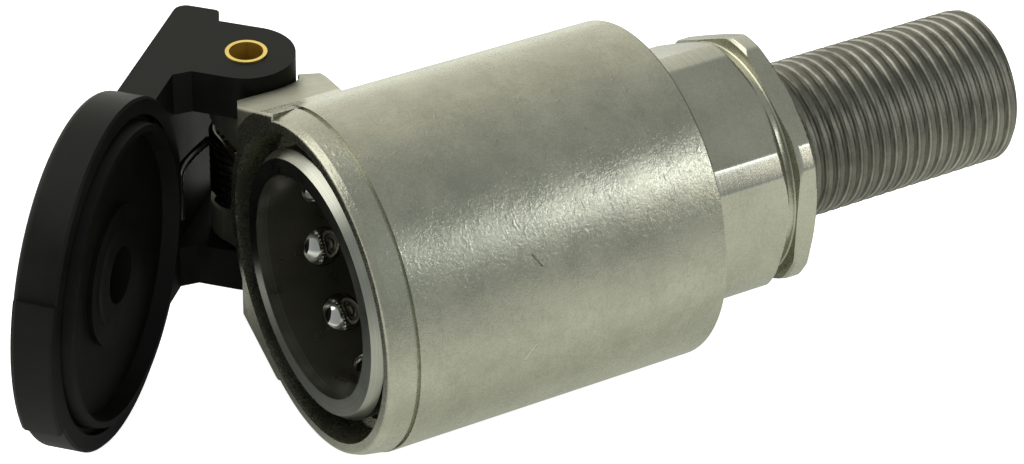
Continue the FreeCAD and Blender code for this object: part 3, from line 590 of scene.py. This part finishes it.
def smooth(piece: bpy.types.Object, angle: float) -> None:
    """Shade a mesh smooth up to an angle.

    Args:
        piece: the object.
        angle: the angle in degrees.
    """
    piece.data.shade_smooth()
    piece.data.set_sharp_from_angle(angle=math.radians(angle))


def dress(piece: bpy.types.Object, material: bpy.types.Material) -> None:
    """Give an object one material."""
    piece.data.materials.clear()
    piece.data.materials.append(material)


def polar_mesh(
    name: str,
    rows: Sequence[float],
    turns: Sequence[float],
    radius: Callable[[int, float], float],
) -> bpy.types.Object:
    """Make a closed ring of faces round the coupler's axis.

    Args:
        name: the object's name.
        rows: stations of the section's corners, in order round the section.
        turns: angles from +Y, in radians.
        radius: gives the radius of a corner, by its number and the angle.

    Returns:
        The object.
    """
    points = []
    for index, station in enumerate(rows):
        for angle in turns:
            reach = radius(index, angle)
            points.append((station, reach * math.cos(angle), reach * math.sin(angle)))
    count = len(turns)
    faces = []
    for index in range(len(rows)):
        after = (index + 1) % len(rows)
        for step in range(count):
            beside = (step + 1) % count
            near, far = index * count, after * count
            faces.append((near + step, near + beside, far + beside, far + step))
    return mesh_piece(name, points, faces)


def soft_least(first: float, second: float, blend: float) -> float:
    """Give the smaller of two lengths, rounded where they cross.

    Args:
        first: a length.
        second: a length.
        blend: size of the rounding.

    Returns:
        The smaller length, a little less near the crossing.
    """
    low, high = min(first, second), max(first, second)
    return low - blend * math.log1p(math.exp(-(high - low) / blend))


def graded(start: float, end: float, step: float) -> list[float]:
    """Give evenly spaced stations from start up to end, end left out."""
    count = max(1, round((end - start) / step))
    return [start + (end - start) * index / count for index in range(count)]


@dataclass
class EndPiece:
    """Hexagon end piece with its spigot, flange, two hexagons and pipe thread."""

    apothem: float = 16.0 * MM
    corner_angle: float = 30.4
    turned_radius: float = 17.6 * MM
    edge_round: float = 0.05 * MM
    guide_bore: float = 12.0 * MM
    guide_depth: float = 43.0 * MM
    spigot: float = 14.98 * MM
    groove_start: float = 35.9 * MM
    groove_end: float = 38.1 * MM
    groove_radius: float = 13.35 * MM
    flange_start: float = 43.5 * MM
    hex_start: float = 46.0 * MM
    hex_end: float = 59.0 * MM
    neck_start: float = 60.3 * MM
    neck_radius: float = 15.6 * MM
    neck_end: float = 61.6 * MM
    shoulder: float = 64.7 * MM
    shoulder_drop: float = 0.3 * MM
    relief_radius: float = 9.2 * MM
    thread_start: float = 66.0 * MM
    thread_radius: float = 10.4775 * MM
    thread_pitch: float = 1.814 * MM
    thread_depth: float = 0.55 * MM
    thread_chamfer: float = 0.4 * MM
    end: float = 100.65 * MM
    bore: float = 6.5 * MM
    bore_start: float = 50.0 * MM
    flow_radius: float = 10.0 * MM
    flow_end: float = 46.5 * MM
    rows_per_pitch: int = 14
    section: list[tuple[float, float]] = field(default_factory=list)

    def angles(self) -> list[float]:
        """Give the angles of the mesh's corners, close together at the hexagon's corners."""
        half = [0.0, 1.8, 3.4, 4.4, 4.9, 5.2, 5.4, 5.6, 5.9, 6.4, 7.4, 9.4, 12.4, 16.0, 20.5, 25.0]
        mirrored = [60.0 - angle for angle in reversed(half[1:])]
        sector = half + [30.0] + mirrored
        starts = [self.corner_angle + 60.0 * side for side in range(6)]
        return [math.radians(start + angle) for start in starts for angle in sector]

    def hexagon(self, angle: float) -> float:
        """Give the distance from the axis to the hexagon's side at an angle."""
        from_corner = (math.degrees(angle) - self.corner_angle) % 60.0
        return self.apothem / math.cos(math.radians(from_corner - 30.0))

    def build(self, hexagon: bpy.types.Material, thread: bpy.types.Material) -> bpy.types.Object:
        """Build the piece.

        Args:
            hexagon: finish of the hexagons.
            thread: finish of the thread.

        Returns:
            The piece.
        """
        self.section = self._section()
        stations = [station for station, _ in self.section]
        piece = polar_mesh("end_piece", stations, self.angles(), self._radius)
        piece.data.materials.append(hexagon)
        piece.data.materials.append(thread)
        for face in piece.data.polygons:
            face.material_index = int(face.center.x > self.shoulder + 0.05 * MM)
        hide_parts("hex_adapter")
        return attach(piece, Body.COUPLER.value)

    def _section(self) -> list[tuple[float, float]]:
        """Give the stations and radii of the turned section, outside first and then the bore."""
        low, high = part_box("hex_adapter")
        front = [
            (low.x, self.guide_bore),
            (low.x, self.spigot),
            (self.groove_start, self.spigot),
            (self.groove_start, self.groove_radius),
            (self.groove_end, self.groove_radius),
            (self.groove_end, self.spigot),
            (self.flange_start, self.spigot),
            (self.flange_start, high.y),
            (self.hex_start, high.y),
        ]
        cone_start = self.hex_end - 1.0 * MM
        stations = graded(self.hex_start, cone_start, 0.9 * MM)
        hexagon = [(station, self.turned_radius) for station in stations]
        stations = graded(cone_start, self.neck_start, 0.1 * MM)
        cone = [(station, self._cone(station)) for station in stations]
        flare = self.neck_radius + 0.15 * MM
        neck = [
            (self.neck_start, self.apothem + 0.1 * MM),
            (self.neck_start + 0.02 * MM, flare),
            (self.neck_start + 0.2 * MM, self.neck_radius),
            (self.neck_end - 0.2 * MM, self.neck_radius),
            (self.neck_end - 0.02 * MM, flare),
        ]
        stations = graded(self.neck_end, self.shoulder, 0.11 * MM)
        thin = [(station, self._thin(station)) for station in stations]
        relief = [
            (self.shoulder, self.apothem - self.shoulder_drop),
            (self.shoulder, self.relief_radius + 0.3 * MM),
            (self.shoulder + 0.3 * MM, self.relief_radius),
        ]
        stations = graded(self.thread_start, self.end, self.thread_pitch / self.rows_per_pitch)
        thread = [(station, self.thread_radius) for station in stations]
        bore = [
            (self.end, self.relief_radius),
            (self.end, self.bore + 0.4 * MM),
            (self.end - 0.4 * MM, self.bore),
            (self.bore_start, self.bore),
            (self.flow_end, self.flow_radius),
            (self.guide_depth, self.flow_radius),
            (self.guide_depth, self.guide_bore),
        ]
        return front + hexagon + cone + neck + thin + relief + thread + bore

    def _cone(self, station: float) -> float:
        """Give the turned radius where the long hexagon ends."""
        slope = (self.turned_radius - self.apothem - 0.1 * MM) / (self.neck_start - self.hex_end)
        coned = self.turned_radius - slope * (station - self.hex_end)
        return soft_least(self.turned_radius, coned, self.edge_round)

    def _thin(self, station: float) -> float:
        """Give the turned radius of the thin hexagon, chamfered on both sides."""
        front = self.turned_radius - 0.4 * MM + (station - self.neck_end)
        rear = self.apothem - self.shoulder_drop + 2.1 * (self.shoulder - station)
        chamfered = soft_least(front, rear, self.edge_round)
        return soft_least(self.turned_radius, chamfered, self.edge_round)

    def _radius(self, index: int, angle: float) -> float:
        """Give the radius of a corner of the mesh.

        Args:
            index: number of the corner round the section.
            angle: its angle from +Y.

        Returns:
            The radius.
        """
        station, turned = self.section[index]
        among = self.hex_start < station < self.shoulder + 1e-6
        if among and turned > self.apothem - 0.4 * MM:
            return soft_least(turned, self.hexagon(angle), self.edge_round)
        if self.thread_start <= station < self.end and turned == self.thread_radius:
            return self._thread(station, angle)
        return turned

    def _thread(self, station: float, angle: float) -> float:
        """Give the radius of the thread's flanks, rounded at crest and root.

        Args:
            station: place along the axis.
            angle: angle from +Y.

        Returns:
            The radius.
        """
        walked = (station - self.thread_start) / self.thread_pitch
        turn = (walked - angle / (2 * math.pi)) % 1.0
        wave = abs(2.0 * turn - 1.0)
        flank = min(1.0, max(0.0, (wave - 0.16) / 0.55))
        drop = self.thread_depth * (1.0 - flank * flank * (3.0 - 2.0 * flank))
        depth_in = min(1.0, max(0.0, (station - self.thread_start) / (1.6 * self.thread_pitch)))
        crest = self.thread_radius - (1.0 - depth_in) * 0.25 * MM
        run_in = self.relief_radius + (station - self.thread_start) * 1.1
        run_out = self.thread_radius - self.thread_chamfer + (self.end - station) * 1.0
        limit = soft_least(run_in, run_out, self.edge_round)
        return soft_least(crest - drop, limit, self.edge_round)


@dataclass
class Coil:
    """A wire spring round X or Z; one that reaches a second body is left in world space, attached
    to no body.
    """

    node: str
    body: Body
    turns: float
    mean_radius: float
    wire: float
    centre: Vector
    axis: Vector
    length: float
    first_angle: float = 0.0
    far_body: Body | None = None
    steps: int = 40
    sides: int = 12

    def path(self) -> list[Vector]:
        """Give the points of the wire's middle line."""
        side = Vector((0.0, 0.0, -1.0) if self.axis.x > 0.5 else (1.0, 0.0, 0.0))
        other = self.axis.cross(side)
        count = int(self.turns * self.steps)
        points = []
        for step in range(count + 1):
            angle = self.first_angle + 2 * math.pi * step / self.steps
            reach = side * math.cos(angle) + other * math.sin(angle)
            rise = (step / count - 0.5) * self.length
            points.append(self.centre + self.axis * rise + reach * self.mean_radius)
        return points

    def build(self, material: bpy.types.Material, leg: Sequence[Vector] = ()) -> bpy.types.Object:
        """Build the spring.

        Args:
            material: its finish.
            leg: points of a leg after the coil.

        Returns:
            The piece.
        """
        path = [*self.path(), *leg]
        piece = wire_piece(self.node + "_wire", path, self.wire / 2, self.sides)
        dress(piece, material)
        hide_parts(self.node)
        if self.far_body is None:
            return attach(piece, self.body.value)
        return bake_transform(piece)


def wire_piece(
    name: str, path: Sequence[Vector], radius: float, sides: int
) -> bpy.types.Object:
    """Sweep a round wire along points.

    Args:
        name: the object's name.
        path: the wire's middle line.
        radius: half the wire.
        sides: corners of its section.

    Returns:
        The object.
    """
    points, faces = [], []
    across = (path[1] - path[0]).orthogonal().normalized()
    last = len(path) - 1
    for index, middle in enumerate(path):
        along = (path[min(last, index + 1)] - path[max(0, index - 1)]).normalized()
        across = (across - along * across.dot(along)).normalized()
        over = along.cross(across)
        for side in range(sides):
            angle = 2 * math.pi * side / sides
            points.append(middle + (across * math.cos(angle) + over * math.sin(angle)) * radius)
    for index in range(last):
        for side in range(sides):
            beside = (side + 1) % sides
            row, after = index * sides, (index + 1) * sides
            faces.append((row + side, row + beside, after + beside, after + side))
    faces.append(tuple(reversed(range(sides))))
    faces.append(tuple(last * sides + side for side in range(sides)))
    return mesh_piece(name, points, faces, 50.0)


def rounded(path: Sequence[Vector], steps: int) -> list[Vector]:
    """Round the corners of a path of straight runs.

    Args:
        path: its points.
        steps: points for each corner.

    Returns:
        The points of the rounded path.
    """
    points = [path[0]]
    for before, corner, after in zip(path, path[1:], path[2:]):
        first, last = (before + corner) / 2, (corner + after) / 2
        for step in range(steps + 1):
            share = step / steps
            points.append(first.lerp(corner, share).lerp(corner.lerp(last, share), share))
    return points + [path[-1]]


@dataclass
class Springs:
    """The three wire springs."""

    body_spring_turns: float = 5.0
    cap_spring_turns: float = 8.0
    cap_spring_wire: float = 1.1 * MM

    def build(self, material: bpy.types.Material) -> list[bpy.types.Object]:
        """Build the springs.

        Args:
            material: their finish.

        Returns:
            The pieces.
        """
        along = Vector((1.0, 0.0, 0.0))
        made = []
        rows = (
            ("sleeve_spring", 19.1 * MM, 2.2 * MM, Body.COUPLER, Body.SLEEVE),
            ("poppet_spring", 7.2 * MM, 1.4 * MM, Body.VALVE, Body.COUPLER),
        )
        for node, radius, wire, near, far in rows:
            low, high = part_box(node)
            centre = Vector(((low.x + high.x) / 2, 0.0, 0.0))
            length = high.x - low.x - wire
            turns = self.body_spring_turns
            coil = Coil(node, near, turns, radius, wire, centre, along, length, far_body=far)
            made.append(coil.build(material))
        made.append(self._cap_spring(material))
        made.append(self._free_leg(material))
        return made

    def _cap_spring(self, material: bpy.types.Material) -> bpy.types.Object:
        """Build the cap's torsion spring with the leg that rests on the lug."""
        mean, half = 4.6 * MM, 4.65 * MM
        up = Vector((0.0, 0.0, 1.0))
        turns, wire = self.cap_spring_turns, self.cap_spring_wire
        coil = Coil("cap_spring", Body.SLEEVE, turns, mean, wire, HINGE, up, 2 * half, math.pi)
        end = HINGE + Vector((-mean, 0.0, half))
        foot = [end + Vector((0.0, -drop * MM, 0.0)) for drop in (0.6, 2.0, 4.0, 6.6)]
        return coil.build(material, foot)

    def _free_leg(self, material: bpy.types.Material) -> bpy.types.Object:
        """Build the spring's bent leg that lies against the cap's web.

        Its corners are given with the cap shut and swung open with it.
        """
        shut = (
            (1.9, 27.0, 3.6),
            (0.6, 24.1, 2.8),
            (-0.6, 22.4, 1.3),
            (-0.6, 22.4, -1.5),
            (-0.6, 22.4, -6.2),
        )
        swing = Matrix.Rotation(-CAP_SWING, 3, "Z")
        path = [HINGE + swing @ (Vector(point) * MM - HINGE) for point in shut]
        leg = wire_piece("cap_spring_leg", rounded(path, 6), self.cap_spring_wire / 2, 14)
        dress(leg, material)
        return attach(leg, Body.CAP.value)


@dataclass
class Balls:
    """Locking balls, smooth and polished."""

    count: int = 10
    segments: int = 48
    rings: int = 32

    def build(self, material: bpy.types.Material) -> list[bpy.types.Object]:
        """Build the balls, each in place of its solid.

        Args:
            material: their finish.

        Returns:
            The pieces.
        """
        made = []
        for index in range(1, self.count + 1):
            node = f"locking_ball_{index:02d}"
            low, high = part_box(node)
            piece = self._ball(f"polished_ball_{index:02d}", (low + high) / 2, (high.x - low.x) / 2)
            dress(piece, material)
            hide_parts(node)
            made.append(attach(piece, f"ball_{index:02d}"))
        return made

    def _ball(self, name: str, centre: Vector, radius: float) -> bpy.types.Object:
        """Make one ball.

        Args:
            name: the object's name.
            centre: its middle.
            radius: its radius.

        Returns:
            The object.
        """
        points = [centre + Vector((-radius, 0.0, 0.0))]
        for ring in range(1, self.rings):
            tilt = math.pi * ring / self.rings
            for step in range(self.segments):
                turn = 2 * math.pi * step / self.segments
                flat = math.sin(tilt)
                offset = Vector((-math.cos(tilt), flat * math.cos(turn), flat * math.sin(turn)))
                points.append(centre + offset * radius)
        points.append(centre + Vector((radius, 0.0, 0.0)))
        last, count = len(points) - 1, self.segments
        faces = []
        for step in range(count):
            beside = (step + 1) % count
            faces.append((0, 1 + beside, 1 + step))
            for ring in range(self.rings - 2):
                row, after = 1 + ring * count, 1 + (ring + 1) * count
                faces.append((row + step, row + beside, after + beside, after + step))
            faces.append((last - count + step, last - count + beside, last))
        return mesh_piece(name, points, faces, 60.0)


@dataclass
class Solids:
    """Solids of the frame that show as they are, with their finishes."""

    smooth_angle: float = 28.0
    soft_nodes: tuple[str, ...] = ("cap", "housing")
    edge_width: float = 0.22 * MM

    def dress(self, finishes: dict[Slot, bpy.types.Material], record: dict, nodes: dict) -> None:
        """Give each solid the finish of its slot.

        Args:
            finishes: the materials by slot.
            record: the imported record.
            nodes: the frame's objects by node.
        """
        for row in record["subparts"]:
            piece = nodes[row["node"]]
            slot = Slot(row["material_slot"])
            dress(piece, finishes[slot])
            smooth(piece, self.smooth_angle)
            if row["node"] in self.soft_nodes:
                self._soften(piece)

    def _soften(self, piece: bpy.types.Object) -> None:
        """Take the sharpness off a solid's edges.

        Args:
            piece: the solid.
        """
        flat = piece.modifiers.new("flat_faces", "DECIMATE")
        flat.decimate_type = "DISSOLVE"
        flat.angle_limit = math.radians(0.6)
        edges = piece.modifiers.new("soft_edges", "BEVEL")
        edges.width = self.edge_width
        edges.segments = 2
        edges.limit_method = "ANGLE"
        edges.angle_limit = math.radians(35.0)
        edges.miter_outer = "MITER_ARC"
        shading = piece.modifiers.new("even_shading", "WEIGHTED_NORMAL")
        shading.keep_sharp = True


@dataclass(frozen=True)
class Lamp:
    """A rectangular lamp that faces one station of the coupler's axis.

    The azimuth counts from +X towards +Y and the elevation from the floor, both in degrees.
    """

    name: str
    station: float
    azimuth: float
    elevation: float
    distance: float
    size: tuple[float, float]
    watts: float
    tint: tuple[float, float, float]

    def build(self) -> None:
        """Place the lamp."""
        lamp = bpy.data.lights.new(self.name, "AREA")
        lamp.shape = "RECTANGLE"
        lamp.size, lamp.size_y = self.size
        lamp.energy = self.watts
        lamp.color = self.tint
        holder = bpy.data.objects.new(self.name, lamp)
        bpy.context.scene.collection.objects.link(holder)
        turn, rise = math.radians(self.azimuth), math.radians(self.elevation)
        level = math.cos(rise)
        away = Vector((level * math.cos(turn), level * math.sin(turn), math.sin(rise)))
        holder.location = Vector((self.station, 0.0, 0.0)) + away * self.distance
        holder.rotation_mode = "QUATERNION"
        holder.rotation_quaternion = (-away).to_track_quat("-Z", "Y")


@dataclass
class Studio:
    """Pale floor, soft light and the camera at the photograph's angle."""

    azimuth: float = 0.5318
    elevation: float = 0.6010
    roll: float = 0.0227
    focal_pixels: float = 3582.9
    image_width: float = 1024.0
    offset: tuple[float, float, float] = (-25.220, 6.925, 440.619)
    floor_level: float = -22.6 * MM
    floor_reach: float = 4.0
    lamps: tuple[Lamp, ...] = (
        Lamp("key", 60 * MM, -57.0, 36.0, 0.2, (0.08, 0.045), 0.049, (0.94, 0.96, 1.0)),
        Lamp("window", 8 * MM, -64.0, 31.0, 0.75, (0.5, 0.2), 0.06, (0.7, 0.92, 1.0)),
        Lamp("thread", 82 * MM, -56.5, 20.0, 0.25, (0.05, 0.03), 0.03, (1.0, 0.9, 0.8)),
        Lamp("overhead", 25 * MM, 135.0, 50.0, 1.0, (0.8, 0.8), 4.0, (1.0, 0.99, 0.96)),
    )

    def build(self) -> None:
        """Build the floor, the lights, the world and the camera."""
        self._floor()
        self._world()
        self._camera()
        for lamp in self.lamps:
            lamp.build()

    def _floor(self) -> None:
        """Build the floor: pale to the camera; in reflections only, painted glows and a painted
        shadow.
        """
        reach = self.floor_reach
        around = ((-reach, -reach), (reach, -reach), (reach, reach), (-reach, reach))
        corners = [(across, along, self.floor_level) for across, along in around]
        floor = mesh_piece("floor", corners, [(0, 1, 2, 3)])
        material, graph = new_graph("pale_floor")
        diffuse = graph.node("ShaderNodeBsdfDiffuse", {}, {"Color": (0.86, 0.86, 0.85, 1.0)})
        lit = self._glow(graph, diffuse, graph.rays("Is Camera Ray"), (1.0, 1.0, 1.0), 0.9)
        along, behind, _ = graph.split(graph.place())
        reflected = graph.rays("Is Glossy Ray")
        # mask of a painted shadow, seen only in reflections, on the floor behind and past the
        # thread end
        shaded = (along - behind * 0.5).above(0.075, 0.025) * behind.above(0.03, 0.02)
        front = behind * -1.0
        # painted glows, seen only in reflections: a strip in front of the coupler and the far floor
        # behind it
        near = front.above(0.004, 0.01) * (1.0 - front.above(0.07, 0.02)) * 0.36
        far = behind.above(0.13, 0.05) * (1.0 - shaded) * 0.8
        lit = self._glow(graph, lit, reflected, (0.97, 1.0, 0.86), near + far)
        # dark floor for glossy rays inside the painted shadow's mask
        dim = graph.node("ShaderNodeBsdfDiffuse", {}, {"Color": (0.1, 0.1, 0.095, 1.0)})
        lit = graph.node("ShaderNodeMixShader", {}, {0: reflected * shaded, 1: lit, 2: dim})
        graph.node("ShaderNodeOutputMaterial", {}, {"Surface": lit})
        dress(floor, material)

    @staticmethod
    def _glow(
        graph: Graph, base: Wire, rays: Wire, colour: tuple[float, float, float], strength: object
    ) -> Wire:
        """Add a glow to a shader for some of the rays.

        Args:
            graph: the material's graph.
            base: the shader.
            rays: 1 for the rays that see the glow.
            colour: its tint.
            strength: its brightness.

        Returns:
            The shader with its glow.
        """
        glow = graph.node("ShaderNodeEmission", {}, {"Color": (*colour, 1.0), "Strength": strength})
        both = graph.node("ShaderNodeAddShader", {}, {0: base, 1: glow})
        return graph.node("ShaderNodeMixShader", {}, {0: rays, 1: base, 2: both})

    def _world(self) -> None:
        """Build the world: white to the camera, a soft room to everything else."""
        world = bpy.data.worlds.new("studio")
        bpy.context.scene.world = world
        graph = Graph(world)
        seen = graph.rays("Is Camera Ray").most(graph.rays("Is Transmission Ray"))
        direction = graph.node("ShaderNodeTexCoord", {}, {}, "Generated")
        across, behind, up = graph.split(direction)
        wall = (behind * 0.5 + 0.5 - up * 0.35).above(0.5, 0.5)
        room = graph.mix(wall, (0.41, 0.44, 0.44), (1.12, 1.10, 1.0))
        beyond = across.above(0.68, 0.16) * (1.0 - up.above(0.7, 0.15))
        room = graph.mix(beyond, room, (0.16, 0.16, 0.15))
        colour = graph.mix(seen, room, (1.0, 1.0, 1.0))
        background = graph.node("ShaderNodeBackground", {}, {"Color": colour, "Strength": 1.0})
        graph.node("ShaderNodeOutputWorld", {}, {"Surface": background})

    def _camera(self) -> None:
        """Place the camera."""
        sine, cosine = math.sin(self.azimuth), math.cos(self.azimuth)
        level = math.cos(self.elevation)
        forward = Vector((sine * level, cosine * level, -math.sin(self.elevation)))
        right = forward.cross(Vector((0.0, 0.0, 1.0))).normalized()
        down = forward.cross(right)
        turned_right = right * math.cos(self.roll) - down * math.sin(self.roll)
        turned_down = right * math.sin(self.roll) + down * math.cos(self.roll)
        rows = Matrix((turned_right, turned_down, forward))
        eye = -(rows.transposed() @ Vector(self.offset)) * MM
        data = bpy.data.cameras.new("camera")
        data.sensor_width = 36.0
        data.lens = self.focal_pixels / self.image_width * data.sensor_width
        data.clip_start, data.clip_end = 0.01, 20.0
        camera = bpy.data.objects.new("camera", data)
        bpy.context.scene.collection.objects.link(camera)
        axes = Matrix((turned_right, -turned_down, -forward)).transposed()
        camera.matrix_world = Matrix.Translation(eye) @ axes.to_4x4()
        bpy.context.scene.camera = camera


def finishes() -> dict[Slot, bpy.types.Material]:
    """Build the material of each slot."""
    scratches = (
        Scratch((20.44 * MM, -10.9 * MM), (21.5 * MM, -9.1 * MM), 0.28 * MM, -0.12 * MM),
        Scratch((18.4 * MM, 3.0 * MM), (19.8 * MM, 1.1 * MM), 0.2 * MM, 0.05 * MM),
    )
    hexagon = ZincPlate(
        "zinc_hexagon",
        stain_share=0.25,
        nick_depth=0.0,
        mottle_size=9 * MM,
        crinkle_depth=0.02 * MM,
        turned_from=17.5 * MM,
    )
    black, worn_black = (0.0035, 0.0037, 0.0028), (0.013, 0.0135, 0.0105)
    rubber, worn_rubber = (0.012, 0.012, 0.012), (0.02, 0.02, 0.02)
    white, worn_white = (0.7, 0.7, 0.66), (0.8, 0.8, 0.76)
    return {
        Slot.SLEEVE: ZincPlate("zinc_sleeve", scratches=scratches).build(),
        Slot.HEXAGON: hexagon.build(),
        Slot.TURNED: TurnedSteel("turned_steel").build(),
        Slot.SPRING: PlainMetal("drawn_wire", (0.16, 0.155, 0.14), 0.28).build(),
        Slot.BALL: PlainMetal("polished_ball", (0.62, 0.61, 0.58), 0.08, 0.03).build(),
        Slot.BRASS: PlainMetal("brass_tube", (1.0, 0.76, 0.22), 0.4).build(),
        Slot.PLASTIC: Moulded("black_plastic", black, worn_black, 0.5).build(),
        Slot.RUBBER: Moulded("black_rubber", rubber, worn_rubber, 0.62).build(),
        Slot.PTFE: Moulded("white_ptfe", white, worn_white, 0.45).build(),
    }


def thread_finish() -> bpy.types.Material:
    """Build the finish of the pipe thread, duller and darker than the rest."""
    return ZincPlate(
        "zinc_thread",
        light=(0.215, 0.208, 0.17),
        dark=(0.12, 0.117, 0.096),
        nick_depth=0.0,
        crinkle_depth=0.05 * MM,
        roughness=0.43,
        crest=EndPiece.thread_radius,
    ).build()


def main() -> None:
    """Build the coupler's looks round the frame."""
    logging.basicConfig(level=logging.INFO, format="%(message)s")
    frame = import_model()
    bpy.context.scene.view_settings.view_transform = "Standard"
    made = finishes()
    Solids().dress(made, frame["record"], frame["nodes"])
    pieces = [EndPiece().build(made[Slot.HEXAGON], thread_finish())]
    pieces += Springs().build(made[Slot.SPRING])
    pieces += Balls().build(made[Slot.BALL])
    Studio().build()
    for piece in pieces:
        LOG.info("%s: %d faces", piece.name, len(piece.data.polygons))


if __name__ == "__main__":
    main()
